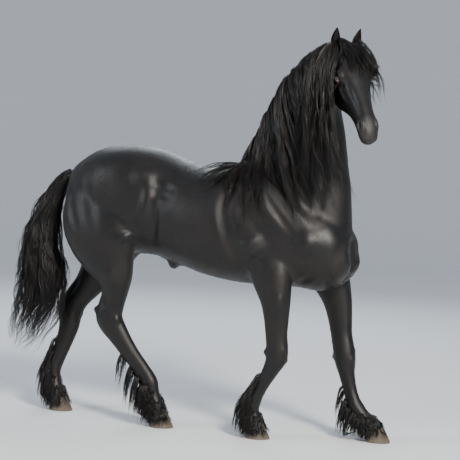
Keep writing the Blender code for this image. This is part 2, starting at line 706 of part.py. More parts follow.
def biggest_piece(thing):
    """Keeps the largest closed surface, with its faces as triangles and its touching points drawn apart."""
    data = thing.data
    data.calc_loop_triangles()
    faces = [tuple(triangle.vertices) for triangle in data.loop_triangles]
    beside = {}
    for i, face in enumerate(faces):
        for a, b in zip(face, face[1:] + face[:1]):
            beside.setdefault((min(a, b), max(a, b)), []).append(i)
    left, pieces = set(range(len(faces))), []
    while left:
        piece, front = set(), [next(iter(left))]
        while front:
            i = front.pop()
            if i in piece:
                continue
            piece.add(i)
            for a, b in zip(faces[i], faces[i][1:] + faces[i][:1]):
                pair = beside[min(a, b), max(a, b)]
                if len(pair) == 2:
                    front += pair
        left -= piece
        pieces.append(piece)
    kept = [faces[i] for i in sorted(max(pieces, key=len))]
    used = sorted({i for face in kept for i in face})
    place = {old: new for new, old in enumerate(used)}
    points, normals, seen = points_of(data)[used], normals_of(data)[used], {}
    for i, spot in enumerate(np.round(points / TOUCHING).astype(int).tolist()):
        seen[tuple(spot)] = seen.get(tuple(spot), -1) + 1
        points[i] -= normals[i] * (TOUCHING * 3 * seen[tuple(spot)])
    data.clear_geometry()
    data.from_pydata(points.tolist(), [], [[place[i] for i in face] for face in kept])
    data.update()


def inflated(thing, name, cutters, by):
    """A copy of a closed piece with its skin moved outwards."""
    made = copied(thing, name, cutters)
    set_points(made.data, points_of(made.data) + normals_of(made.data) * by)
    made.hide_render, made.display_type = True, "WIRE"
    return made


def head_room(cutters, gap):
    """The wedge that holds the head: in front of the poll and throat, and above the neck's front."""
    top, throat = head_point(*POLL_CUT[0]), head_point(*POLL_CUT[1])
    down, across = (throat - top).normalized(), Vector(POLL_CUT_ACROSS)
    behind = plane_frame(top, down.cross(across), down)
    below = plane_frame(throat, Vector(JAW_CUT_AHEAD).cross(across), JAW_CUT_AHEAD)
    room = block("room", (-0.6, -0.6, -gap), (0.9, 0.6, 0.9), cutters, behind)
    jaw = block("jaw", (-0.9, -0.7, -gap), (1.2, 0.7, 1.2), cutters, below)
    carved(room, jaw, "INTERSECT")
    removed(jaw)
    return room


def part_flesh(flesh, group, cutters):
    """Parts the flesh at the poll, the withers, the elbows, the stifles, the knees and the hocks."""
    parts = {}
    neck = plane_frame(*NECK_CUT, (0, 1, 0))
    wide = 1.5
    upper = block("upper", (-wide, -wide, 0), (wide, wide, wide), cutters, neck)
    parts["neck"] = copied(flesh, "neck", group)
    carved(parts["neck"], upper, "INTERSECT")
    parts["head"] = copied(parts["neck"], "head", group)
    face, rest = head_room(cutters, 0), head_room(cutters, GAP)
    carved(parts["head"], face, "INTERSECT")
    carved(parts["neck"], rest, "DIFFERENCE")
    biggest_piece(parts["head"])
    biggest_piece(parts["neck"])
    removed(upper, face, rest)
    parts["torso"] = flesh
    flesh.name = "torso"
    over = block("over", (-wide, -wide, -GAP), (wide, wide, wide), cutters, neck)
    carved(flesh, over, "DIFFERENCE")
    removed(over)
    for end, (low_x, high_x), top, joint in (("fore", (0.0, 1.3), ELBOW_CUT, KNEE_CUT), ("hind", (-1.6, -0.35), STIFLE_CUT, HOCK_CUT)):
        for side, (low_y, high_y) in (("left", (0.0, 0.6)), ("right", (-0.6, 0.0))):
            leg = block("leg", (low_x, low_y, -0.1), (high_x, high_y, top), cutters)
            over = block("over", (low_x, low_y, -0.1), (high_x, high_y, top + GAP), cutters)
            foot = block("foot", (low_x, low_y, -0.1), (high_x, high_y, joint), cutters)
            shin = block("shin", (low_x, low_y, -0.1), (high_x, high_y, joint + GAP), cutters)
            hoof = block("hoof", (-0.2, -0.2, -0.3), (0.2, 0.2, GAP), cutters, hoof_frame(end + "_" + side))
            lower = parts["lower_" + end + "leg_" + side] = copied(flesh, "lower_" + end + "leg_" + side, group)
            upper = parts["upper_" + end + "leg_" + side] = copied(flesh, "upper_" + end + "leg_" + side, group)
            carved(lower, foot, "INTERSECT")
            carved(lower, hoof, "DIFFERENCE")
            carved(upper, leg, "INTERSECT")
            carved(upper, shin, "DIFFERENCE")
            carved(flesh, over, "DIFFERENCE")
            removed(leg, over, foot, shin, hoof)
    for part in parts.values():
        biggest_piece(part)
    return parts


def hoof_frame(leg):
    """The plane where the hoof meets the hair of the coronet."""
    x, y = HOOVES[leg]
    return plane_frame((x - 0.022, y, HOOF_HEIGHT * 0.82), (-0.34, 0, 0.94), (0, 1, 0))


def hoof_outline(turn, length, width):
    """A point of the sole's outline: round at the toe, drawn in and flatter at the heels."""
    c, s = math.cos(turn), math.sin(turn)
    ahead = length * (0.5 if c > 0 else 0.46) * math.copysign(abs(c) ** (1 if c > 0 else 0.8), c)
    return ahead, width / 2 * s * (1 - 0.12 * max(0, -c))


def hoof_object(leg, group):
    x, y = HOOVES[leg]
    top = hoof_frame(leg)
    normal, spot = top.to_3x3() @ Vector((0, 0, 1)), top.translation
    rings = []
    for share, scale in ((0.0, 0.965), (0.05, 1.0), (0.5, 0.905), (1.0, 0.815)):
        ring = []
        for i in range(HOOF_SIDES):
            ahead, across = hoof_outline(2 * math.pi * i / HOOF_SIDES, HOOF_LENGTH, HOOF_WIDTH)
            spot_x, spot_y = x - 0.030 * share + ahead * scale, y + across * scale
            height = spot.z - ((spot_x - spot.x) * normal.x + (spot_y - spot.y) * normal.y) / normal.z
            ring.append(Vector((spot_x, spot_y, height * share)))
        rings.append(ring)
    return add_object("hoof_" + leg, loft(rings), group)


def ear_object(side, group):
    """A cupped ear: C-shaped sections that open to the front, from the wide base to the tip."""
    length, half_width, depth, rim = EAR
    axis, brow, left = head_axes()
    facing = Vector((math.sin(HEAD_TURN), -math.cos(HEAD_TURN), 0))
    out = left * side
    up = (Vector((0, 0, 1)) * 0.97 + out * 0.15 + left * 0.10 + facing * 0.16).normalized()
    ahead = facing * 0.86 + out * 0.50
    ahead = (ahead - up * ahead.dot(up)).normalized()
    across = up.cross(ahead)
    base = head_point(EAR_BASE[0], EAR_BASE[1], side * EAR_BASE[2])
    rows = EAR_ROWS
    rings = []
    for height, wide, deep, open_angle, hollow in rows:
        centre = base + up * (length * height) - out * (0.010 * height**2) + ahead * (0.012 * height)
        ring = []
        for scale, turns in ((1.0, range(EAR_SIDES)), (hollow, reversed(range(EAR_SIDES)))):
            for i in turns:
                angle = math.radians(open_angle) * (2 * i / (EAR_SIDES - 1) - 1)
                point = across * (math.sin(angle) * wide * half_width) - ahead * (math.cos(angle) * deep * depth)
                if scale != 1.0:
                    keep = 1 - rim / half_width / max(wide, 0.2)
                    point = point * max(0.25, min(scale, keep))
                ring.append(centre + point)
        rings.append(ring)
    return add_object("ear_" + ("left" if side > 0 else "right"), loft(rings), group)


def eye_objects(head, group, cutters):
    eyes = []
    for side, name in ((1, "eye_left"), (-1, "eye_right")):
        for radius, target in ((EYE_RADIUS + GAP, None), (EYE_RADIUS, name)):
            mesh = bmesh.new()
            bmesh.ops.create_uvsphere(mesh, u_segments=12, v_segments=7, radius=radius)
            bmesh.ops.translate(mesh, vec=head_point(EYE_PLACE[0], EYE_PLACE[1], side * EYE_PLACE[2]), verts=mesh.verts)
            made = add_object(target or "socket", mesh, group if target else cutters)
            if target:
                eyes.append(made)
            else:
                carved(head, made, "DIFFERENCE")
                removed(made)
    biggest_piece(head)
    return eyes


def faces_at_root(path, faces):
    """Turns the first faces of a strand to the outer side of its bend out of the skin."""
    rise, turn = (path[1] - path[0]).normalized(), (path[2] - path[1]).normalized()
    outer = rise * turn.dot(rise) - turn
    if outer.length > 0.05:
        faces[0] = outer.normalized()
        faces[1] = (faces[0] + faces[2]).normalized()
    return faces


def hanging(start, normal, heading, length, steps, clear, body, stiffness=0.35, drift=(0, 0, 0)):
    """A path that leaves the skin, turns over and hangs down, and stands off the body more and more."""
    step = length / steps
    pull = Vector((0, 0, -1)) + Vector(drift)
    point, direction = Vector(start) + Vector(normal) * min(clear, FIRST_CLEAR), Vector(heading).normalized()
    path, faces = [Vector(start) - Vector(normal) * ROOT_DEPTH, point.copy()], [Vector(normal)] * 2
    for i in range(steps):
        before = point.copy()
        room = FIRST_CLEAR + max(0, clear - FIRST_CLEAR) * min(1, 1.6 * (i + 1) / steps)
        direction = (direction * stiffness + pull * (1 - stiffness)).normalized()
        point = point + direction * step
        spot, face, _, _ = body.find_nearest(point)
        if (point - spot).dot(face) < room:
            point = spot + face * room
        if point.z < FLOOR_CLEAR:
            point.z = FLOOR_CLEAR
        direction = (point - before).normalized()
        flat = face - direction * face.dot(direction)
        if flat.length < 0.2:
            flat = faces[-1] - direction * faces[-1].dot(direction)
        path.append(point.copy())
        faces.append(flat.normalized())
    return path, faces_at_root(path, faces)


def body_tree(things):
    """One search tree over the faces of several pieces."""
    points, polygons = [], []
    for thing in things:
        first = len(points)
        points += [vert.co.copy() for vert in thing.data.vertices]
        polygons += [[first + i for i in face.vertices] for face in thing.data.polygons]
    return BVHTree.FromPolygons(points, polygons)


def lock(path, faces, width, thickness, wave=0.0, phase=0.0, waves=1.5):
    """A flat lock of hair along a path: three-sided, fullest in its upper half, tapered to its tip."""
    rings = []
    last = len(path) - 1
    for i, point in enumerate(path):
        share = i / last
        along = (path[min(i + 1, last)] - path[max(i - 1, 0)]).normalized()
        face = (faces[i] - along * faces[i].dot(along)).normalized()
        across = along.cross(face)
        full = (0.72 + 0.28 * math.sin(math.pi * min(1, share * 1.6))) * (1 - share**3.5) + 0.03
        centre = point + across * (wave * math.sin(phase + 2 * math.pi * waves * share) * math.sqrt(share))
        half, rise = across * (width * full / 2), face * (thickness * (1 - 0.85 * share) / 2)
        rings.append([centre + half - rise * 0.6, centre + rise, centre - half - rise * 0.6])
    return loft(rings)


def crest_root(share):
    """A point on the crest, its outward direction and the neck's side axis, from withers to poll."""
    rows = smooth_rows([(*root, *lean) for root, lean in CREST], 8)
    row = rows[min(int(share * (len(rows) - 1)), len(rows) - 1)]
    return Vector(row[:3]), Vector(row[3:6])


def mane_locks(body):
    """Locks rooted along the crest that fall over the right side of the neck, in two layers."""
    chance, meshes = random.Random(MANE_SEED), []
    for i in range(MANE_LOCKS):
        share = min(1, max(0, (i + 0.5 + chance.uniform(-0.3, 0.3)) / MANE_LOCKS))
        root, lean = crest_root(share)
        spot, normal, _, _ = body.find_nearest(root)
        length = float(np.interp(share, *zip(*MANE_LENGTHS))) * chance.uniform(0.86, 1.08)
        heading = normal * 0.35 + Vector((chance.uniform(-0.1, 0.3), -1, 0.0))
        clear = 0.012 + 0.022 * (i % 2)
        drift = Vector((float(np.interp(share, *zip(*MANE_DRIFT))) + chance.uniform(-0.1, 0.1), 0, 0))
        path, faces = hanging(spot, normal, heading, length, 6, clear, body, chance.uniform(0.4, 0.55), drift)
        width = MANE_WIDTH * chance.uniform(0.85, 1.15)
        meshes.append(lock(path, faces, width, 0.018, 0.016, chance.uniform(0, 6.3), chance.uniform(1.2, 1.9)))
    return meshes


def forelock_locks(face):
    """Locks from between the ears, over the forehead and down the left cheek."""
    chance, meshes = random.Random(FORELOCK_SEED), []
    axis, brow, left = head_axes()
    for i in range(FORELOCK_LOCKS):
        share = i / (FORELOCK_LOCKS - 1)
        out = -0.036 + 0.076 * share
        spot, normal, _, _ = face.find_nearest(head_point(-0.01 + 0.02 * (i % 2), 0.02, out))
        heading = axis * 0.7 + brow * 0.5 + left * (0.30 + 0.95 * share + chance.uniform(-0.1, 0.1))
        length = (0.26 + 0.20 * share) * chance.uniform(0.85, 1.1)
        clear = 0.012 + 0.010 * (i % 2)
        path, faces = hanging(spot, normal, heading, length, 5, clear, face, 0.64)
        meshes.append(lock(path, faces, 0.038, 0.010, 0.006, chance.uniform(0, 6.3)))
    return meshes


def feather_locks(leg, under):
    """Locks from the back and sides of a fetlock and up the back of the cannon."""
    chance, meshes = random.Random(sum(map(ord, leg)) + FEATHER_SEEDS[leg]), []
    frames = limb_frames(LEGS[leg])
    for rise, count, length, spread, stand in FEATHER_ROWS:
        for i in range(count):
            turn = math.radians(spread) * (2 * (i + 0.5) / count - 1) + chance.uniform(-0.06, 0.06)
            place = len(frames) - 1 - int((rise + chance.uniform(-0.15, 0.15)) * RINGS_BETWEEN)
            centre, side, ahead, depth, width = frames[place]
            out = -ahead * math.cos(turn) + side * math.sin(turn)
            spot, normal, _, _ = under.find_nearest(centre + out * depth)
            back = 0.45 + 0.55 * max(0, math.cos(turn))
            heading = out * 0.9 * back + Vector((0, 0, -1))
            reach = min(length * chance.uniform(0.85, 1.1), 1.15 * (spot.z - FLOOR_CLEAR))
            clear = stand * back + 0.008 * (i % 2)
            path, faces = hanging(spot, normal, heading, reach, 4, clear, under, 0.70)
            meshes.append(lock(path, faces, FEATHER_WIDTH * chance.uniform(0.85, 1.15), 0.020, 0.004, chance.uniform(0, 6.3)))
    return meshes


def tail_point(frames, place, turn, share):
    centre, side, ahead, depth, width = frames[min(max(int(round(place)), 0), len(frames) - 1)]
    out = ahead * (math.cos(turn) * depth) + side * (math.sin(turn) * width)
    return centre + out * share, out.normalized()


def tail_locks():
    """Locks that leave the dock all round and follow the tail down to their tips."""
    chance, meshes = random.Random(23), []
    frames = limb_frames(TAIL)
    for i in range(TAIL_LOCKS):
        turn = 2 * math.pi * (i * 0.382) + chance.uniform(-0.2, 0.2)
        first = chance.uniform(0.02, 0.42) * (len(frames) - 1)
        last = min(first + chance.uniform(0.50, 0.62) * len(frames), len(frames) - 1)
        full = chance.uniform(0.70, 0.98)
        path, faces = [], []
        for step in range(6):
            share = step / 5
            inner = 0.25 + (full - 0.25) * min(1, share * 2.2)
            point, out = tail_point(frames, first + (last - first) * share, turn + 0.25 * share, inner)
            path.append(point)
            faces.append(out)
        faces = faces_at_root(path, faces)
        meshes.append(lock(path, faces, TAIL_WIDTH * chance.uniform(0.8, 1.2), 0.020, 0.016, chance.uniform(0, 6.3)))
    return meshes


def joined_to(thing, meshes, neighbours, cutters):
    """Adds closed meshes to a piece, cut clear of its neighbours."""
    locks = bpy.data.collections.new("locks")
    bpy.context.scene.collection.children.link(locks)
    for i, mesh in enumerate(meshes):
        add_object("lock", mesh, locks)
    modifier = thing.modifiers.new("Locks", "BOOLEAN")
    modifier.operation, modifier.operand_type, modifier.solver = "UNION", "COLLECTION", LOCK_SOLVER
    modifier.collection = locks
    apply_modifiers(thing)
    removed(*locks.objects)
    bpy.data.collections.remove(locks)
    for other in neighbours:
        room = inflated(other, "room", cutters, 0.8 * GAP)
        if body_tree([thing]).overlap(body_tree([room])):
            carved(thing, room, "DIFFERENCE", "MANIFOLD")
        removed(room)
    biggest_piece(thing)


def tail_object(group, cutters, neighbours):
    """The dock with the hair's core, and the locks round it."""
    rows = limb_frames(TAIL)[: int(TAIL_CORE * (len(TAIL) - 1) * RINGS_BETWEEN) : 2]
    rings = []
    for i, (centre, side, ahead, depth, width) in enumerate(rows):
        share = i / (len(rows) - 1)
        scale = 0.92 - 0.40 * share - 0.3 * share**6
        rings.append(section(centre, side, ahead, width * scale, depth * scale, depth * scale, 2.0, 12))
    tail = add_object("tail", loft(rings), group)
    joined_to(tail, tail_locks(), neighbours, cutters)
    return tail


def settled(things):
    """Moves the whole so that the middle of its footprint is the origin."""
    clouds = {thing: points_of(thing.data) for thing in things}
    low = np.min([cloud.min(0) for cloud in clouds.values()], axis=0)
    high = np.max([cloud.max(0) for cloud in clouds.values()], axis=0)
    shift = np.array(((low[0] + high[0]) / 2, (low[1] + high[1]) / 2, low[2]))
    for thing, cloud in clouds.items():
        set_points(thing.data, cloud - shift)


def finished(thing):
    """Smooth shading and the thing's own material."""
    colour, roughness = next(row[1:] for row in FINISHES if thing.name.startswith(row[0]))
    made = bpy.data.materials.new(thing.name)
    made.use_nodes = True
    shader = made.node_tree.nodes["Principled BSDF"]
    shader.inputs["Base Color"].default_value = (*colour, 1)
    shader.inputs["Roughness"].default_value, shader.inputs["Metallic"].default_value = roughness, 0
    thing.data.materials.clear()
    thing.data.materials.append(made)
    thing.data.shade_smooth()


def main():
    clear_scene()
    group, cutters = collection("friesian_horse"), collection("cutters")
    flesh = flesh_object(group)
    lightened(flesh, FLESH_FACES)
    parts = part_flesh(flesh, group, cutters)
    for leg in LEGS:
        parts["hoof_" + leg] = hoof_object(leg, group)
    eyes = eye_objects(parts["head"], group, cutters)
    rooms = [inflated(parts[name], name + "_room", cutters, GAP) for name in ("head", "neck")]
    for side in (1, -1):
        ear = parts["ear_%d" % side] = ear_object(side, group)
        for room in rooms:
            if body_tree([ear]).overlap(body_tree([room])):
                carved(ear, room, "DIFFERENCE")
        biggest_piece(ear)
    removed(*rooms)
    ears = [parts["ear_1"], parts["ear_-1"]]
    body = body_tree([parts["torso"], parts["neck"], parts["head"]] + ears)
    joined_to(parts["neck"], mane_locks(body), [parts["torso"], parts["head"]] + ears, cutters)
    face = body_tree([parts["head"]] + eyes)
    joined_to(parts["head"], forelock_locks(face), [parts["neck"]] + ears + eyes, cutters)
    for leg in LEGS:
        end, side = leg.split("_")
        lower, hoof = parts["lower_%sleg_%s" % (end, side)], parts["hoof_" + leg]
        under = body_tree([lower, hoof])
        joined_to(lower, feather_locks(leg, under), [hoof], cutters)
    thighs = [parts["upper_hindleg_left"], parts["upper_hindleg_right"], parts["lower_hindleg_left"]]
    tail_object(group, cutters, [parts["torso"]] + thighs)
    bpy.data.collections.remove(cutters)
    settled(list(group.objects))
    for thing in group.objects:
        finished(thing)


main()
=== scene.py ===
"""The looks of the friesian stallion: skin, long hair, eyes, hooves, floor, light and camera.

Metres, +Z up, in a frame where he faces +X with the floor under his withers as the origin; at the end
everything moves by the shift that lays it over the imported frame.
"""

import math

import bmesh
import bpy
import numpy as np
from mathutils import Matrix, Vector
from mathutils.bvhtree import BVHTree

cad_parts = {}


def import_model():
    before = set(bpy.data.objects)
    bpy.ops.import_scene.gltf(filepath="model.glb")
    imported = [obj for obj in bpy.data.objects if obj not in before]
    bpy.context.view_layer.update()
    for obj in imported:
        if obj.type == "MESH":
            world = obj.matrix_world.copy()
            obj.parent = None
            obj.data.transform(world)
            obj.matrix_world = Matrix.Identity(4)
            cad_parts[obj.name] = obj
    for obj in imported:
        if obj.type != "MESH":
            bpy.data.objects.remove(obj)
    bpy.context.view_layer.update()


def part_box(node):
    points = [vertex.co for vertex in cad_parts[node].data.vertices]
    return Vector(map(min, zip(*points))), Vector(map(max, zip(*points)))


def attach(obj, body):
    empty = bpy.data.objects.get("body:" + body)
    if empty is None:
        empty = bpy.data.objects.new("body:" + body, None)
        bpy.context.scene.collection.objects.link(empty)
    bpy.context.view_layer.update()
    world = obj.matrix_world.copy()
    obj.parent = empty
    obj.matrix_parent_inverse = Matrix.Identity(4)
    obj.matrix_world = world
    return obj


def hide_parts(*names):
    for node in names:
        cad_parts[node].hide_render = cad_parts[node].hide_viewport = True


# Size of the remesh grid, and how often the creases where limbs run into the body are filled.
VOXEL = 0.008
FILLET_TURNS = 14
# Smoothing's step inwards and its step back, how fast a crease starts to fill, and how far it fills at once.
SMOOTHING = (0.5, -0.52)
FILL_RATE, FILL_STEP = 2500, 0.9
# How square the oval sections are: 2 is an ellipse.
TORSO_POWER, NECK_POWER, LIMB_POWER, DOCK_POWER = 2.15, 2.2, 2.1, 2.0

# Torso sections from tail to breast: along, top, bottom, half width, height of the widest place.
TORSO = (
    (-1.075, 1.480, 1.260, 0.075, 1.370),
    (-1.000, 1.545, 1.120, 0.180, 1.350),
    (-0.860, 1.620, 1.030, 0.262, 1.360),
    (-0.680, 1.648, 1.000, 0.290, 1.370),
    (-0.500, 1.628, 0.995, 0.285, 1.330),
    (-0.340, 1.575, 0.955, 0.292, 1.260),
    (-0.180, 1.535, 0.905, 0.315, 1.200),
    (0.000, 1.540, 0.875, 0.316, 1.180),
    (0.140, 1.570, 0.868, 0.290, 1.160),
    (0.280, 1.570, 0.870, 0.262, 1.160),
    (0.420, 1.490, 0.865, 0.245, 1.160),
    (0.540, 1.370, 0.855, 0.222, 1.140),
    (0.645, 1.270, 0.890, 0.185, 1.110),
    (0.712, 1.190, 0.970, 0.110, 1.095),
)
# Neck sections from chest to poll: centre, half depth, half width.
NECK = (
    ((0.335, 0.000, 1.220), 0.372, 0.205),
    ((0.362, 0.000, 1.420), 0.328, 0.168),
    ((0.380, -0.012, 1.600), 0.288, 0.140),
    ((0.408, -0.040, 1.770), 0.246, 0.120),
    ((0.450, -0.085, 1.930), 0.195, 0.106),
    ((0.525, -0.135, 2.060), 0.155, 0.094),
    ((0.600, -0.168, 2.145), 0.116, 0.080),
    ((0.665, -0.192, 2.190), 0.075, 0.062),
)
# Leg sections from hip or shoulder to coronet: centre, half depth, half width.
HIND_RIGHT = (
    ((-0.800, -0.120, 1.420), 0.200, 0.110),
    ((-0.800, -0.165, 1.220), 0.250, 0.125),
    ((-0.765, -0.186, 1.080), 0.225, 0.118),
    ((-0.728, -0.186, 0.970), 0.175, 0.098),
    ((-0.690, -0.178, 0.860), 0.115, 0.078),
    ((-0.692, -0.168, 0.760), 0.082, 0.060),
    ((-0.715, -0.160, 0.680), 0.082, 0.052),
    ((-0.722, -0.156, 0.610), 0.084, 0.055),
    ((-0.650, -0.150, 0.505), 0.064, 0.046),
    ((-0.575, -0.147, 0.410), 0.053, 0.039),
    ((-0.508, -0.144, 0.330), 0.052, 0.038),
    ((-0.455, -0.142, 0.258), 0.054, 0.044),
    ((-0.430, -0.140, 0.185), 0.046, 0.041),
    ((-0.405, -0.138, 0.100), 0.056, 0.053),
    ((-0.382, -0.137, 0.040), 0.050, 0.048),
)
HIND_LEFT = (
    ((-0.860, 0.120, 1.420), 0.200, 0.110),
    ((-0.870, 0.165, 1.220), 0.232, 0.125),
    ((-0.895, 0.180, 1.080), 0.212, 0.118),
    ((-0.930, 0.178, 0.970), 0.170, 0.098),
    ((-0.970, 0.172, 0.870), 0.125, 0.078),
    ((-1.035, 0.160, 0.770), 0.092, 0.060),
    ((-1.100, 0.150, 0.690), 0.083, 0.052),
    ((-1.135, 0.142, 0.615), 0.084, 0.055),
    ((-1.135, 0.130, 0.520), 0.068, 0.047),
    ((-1.158, 0.118, 0.420), 0.056, 0.039),
    ((-1.190, 0.106, 0.330), 0.053, 0.038),
    ((-1.215, 0.096, 0.252), 0.053, 0.044),
    ((-1.205, 0.088, 0.180), 0.046, 0.041),
    ((-1.180, 0.082, 0.100), 0.056, 0.053),
    ((-1.158, 0.080, 0.040), 0.050, 0.048),
)
FORE_RIGHT = (
    ((0.260, -0.150, 1.080), 0.165, 0.090),
    ((0.300, -0.182, 0.930), 0.125, 0.082),
    ((0.330, -0.188, 0.800), 0.092, 0.067),
    ((0.338, -0.183, 0.700), 0.076, 0.056),
    ((0.341, -0.176, 0.600), 0.066, 0.050),
    ((0.347, -0.172, 0.530), 0.066, 0.054),
    ((0.345, -0.170, 0.470), 0.064, 0.056),
    ((0.316, -0.167, 0.405), 0.050, 0.044),
    ((0.278, -0.164, 0.335), 0.042, 0.036),
    ((0.238, -0.161, 0.270), 0.044, 0.038),
    ((0.207, -0.159, 0.208), 0.052, 0.044),
    ((0.205, -0.158, 0.155), 0.045, 0.041),
    ((0.214, -0.156, 0.095), 0.056, 0.053),
    ((0.230, -0.155, 0.040), 0.050, 0.048),
)
FORE_LEFT = (
    ((0.430, 0.150, 1.090), 0.165, 0.090),
    ((0.515, 0.182, 0.940), 0.125, 0.082),
    ((0.570, 0.188, 0.810), 0.092, 0.067),
    ((0.596, 0.183, 0.700), 0.075, 0.056),
    ((0.613, 0.176, 0.600), 0.065, 0.050),
    ((0.632, 0.172, 0.515), 0.066, 0.054),
    ((0.645, 0.170, 0.450), 0.064, 0.056),
    ((0.660, 0.166, 0.375), 0.049, 0.044),
    ((0.684, 0.163, 0.290), 0.042, 0.036),
    ((0.707, 0.160, 0.225), 0.044, 0.038),
    ((0.732, 0.158, 0.175), 0.052, 0.044),
    ((0.775, 0.156, 0.135), 0.045, 0.041),
    ((0.818, 0.155, 0.095), 0.056, 0.053),
    ((0.852, 0.154, 0.040), 0.050, 0.048),
)
# Sculpted strokes of the trunk, on both sides: path, reach, height.  They raise or sink the skin.
TRUNK_STROKES = (
    (((-0.50, -0.24, 1.47),), 0.10, 0.014),
    (((-0.62, -0.18, 1.54), (-0.82, -0.18, 1.46)), 0.17, 0.012),
    (((-0.35, -0.24, 1.44), (-0.39, -0.27, 1.33)), 0.11, -0.018),
    (((-0.45, -0.26, 1.40), (-0.475, -0.27, 1.26), (-0.51, -0.27, 1.14)), 0.050, 0.012),
    (((-0.405, -0.28, 1.32), (-0.42, -0.28, 1.18), (-0.455, -0.26, 1.06)), 0.050, -0.015),
    (((-0.99, -0.14, 1.44), (-0.95, -0.20, 1.28), (-0.88, -0.23, 1.12)), 0.045, -0.009),
    (((-0.86, -0.22, 1.46), (-0.83, -0.26, 1.30), (-0.77, -0.27, 1.14)), 0.050, -0.006),
    (((-1.02, -0.10, 1.40), (-1.02, -0.12, 1.28)), 0.14, 0.016),
    (((0.05, -0.20, 1.47), (0.03, -0.27, 1.30), (0.08, -0.28, 1.12), (0.15, -0.26, 1.00)), 0.065, -0.012),
    (((0.12, -0.18, 1.45), (0.24, -0.21, 1.32), (0.38, -0.22, 1.18)), 0.11, 0.014),
    (((0.15, -0.17, 1.48), (0.30, -0.20, 1.30), (0.42, -0.22, 1.18)), 0.030, -0.005),
    (((0.16, -0.26, 1.15), (0.23, -0.26, 1.03)), 0.12, 0.024),
    (((0.19, -0.25, 0.97),), 0.055, 0.012),
    (((0.51, -0.19, 1.13),), 0.10, 0.022),
    (((0.22, -0.15, 1.56), (0.42, -0.19, 1.38), (0.56, -0.18, 1.24)), 0.055, -0.012),
    (((0.64, -0.07, 1.08), (0.60, -0.08, 0.98)), 0.10, 0.022),
    (((0.69, 0.0, 1.15), (0.68, 0.0, 1.04), (0.62, 0.0, 0.93)), 0.040, -0.020),
    (((0.54, -0.13, 0.99), (0.45, -0.12, 0.91)), 0.035, -0.010),
    (((-0.43, 0.0, 0.96), (-0.35, 0.0, 0.95)), 0.075, 0.050),
    (((0.53, -0.11, 1.28), (0.55, -0.10, 1.52), (0.56, -0.13, 1.78), (0.60, -0.18, 1.98)), 0.040, -0.010),
)
# Strokes on a limb: place along its sections, ahead, outwards, as shares of the half sizes.
HIND_STROKES = (
    (((2.0, 0.80, 0.6), (2.4, 0.9, 0.5)), 0.090, 0.016),
    (((3.6, 0.1, 1.0), (4.4, 0.1, 1.0)), 0.070, 0.012),
    (((4.9, -0.55, 0.8), (6.0, -0.45, 0.8)), 0.024, -0.010),
    (((4.9, -0.55, -0.8), (6.0, -0.45, -0.8)), 0.024, -0.010),
    (((6.55, -1.0, 0.0),), 0.036, 0.022),
    (((7.3, 0.7, 0.5),), 0.035, 0.008),
    (((7.4, 0.5, -0.8),), 0.035, 0.008),
    (((8.1, -0.35, 0.9), (10.4, -0.3, 0.9)), 0.015, -0.006),
    (((8.1, -0.35, -0.9), (10.4, -0.3, -0.9)), 0.015, -0.006),
    (((11.0, -0.8, 0.0),), 0.035, 0.010),
)
FORE_STROKES = (
    (((1.8, 0.5, 0.9), (2.8, 0.5, 0.9)), 0.050, 0.010),
    (((1.4, -0.15, 1.0), (4.0, -0.1, 1.0)), 0.022, -0.007),
    (((5.2, 0.8, 0.5),), 0.028, 0.006),
    (((5.9, 0.8, -0.4),), 0.028, 0.006),
    (((5.5, -1.0, 0.1),), 0.032, 0.016),
    (((6.8, -0.3, 0.9), (9.0, -0.25, 0.9)), 0.014, -0.006),
    (((6.8, -0.3, -0.9), (9.0, -0.25, -0.9)), 0.014, -0.006),
    (((10.0, -0.8, 0.0),), 0.032, 0.010),
)

# The head's place and attitude: poll, turn from straight at the viewer's side, droop, tilt.
POLL = Vector((0.680, -0.200, 2.253))
HEAD_TURN = math.radians(36.5)
HEAD_DROOP = math.radians(38.2)
HEAD_TILT = math.radians(5)
# Head sections from poll to lips: along, top, bottom, half width, height of the widest place.
HEAD = (
    (-0.045, -0.045, -0.130, 0.034, -0.090),
    (-0.010, -0.008, -0.165, 0.064, -0.075),
    (0.050, 0.018, -0.205, 0.082, -0.060),
    (0.120, 0.030, -0.245, 0.092, -0.048),
    (0.190, 0.032, -0.262, 0.097, -0.042),
    (0.260, 0.026, -0.250, 0.088, -0.045),
    (0.330, 0.018, -0.205, 0.072, -0.050),
    (0.400, 0.012, -0.165, 0.060, -0.052),
    (0.470, 0.007, -0.142, 0.053, -0.052),
    (0.530, 0.001, -0.132, 0.054, -0.050),
    (0.580, -0.012, -0.130, 0.052, -0.060),
    (0.618, -0.034, -0.120, 0.040, -0.072),
    (0.634, -0.056, -0.100, 0.020, -0.076),
)
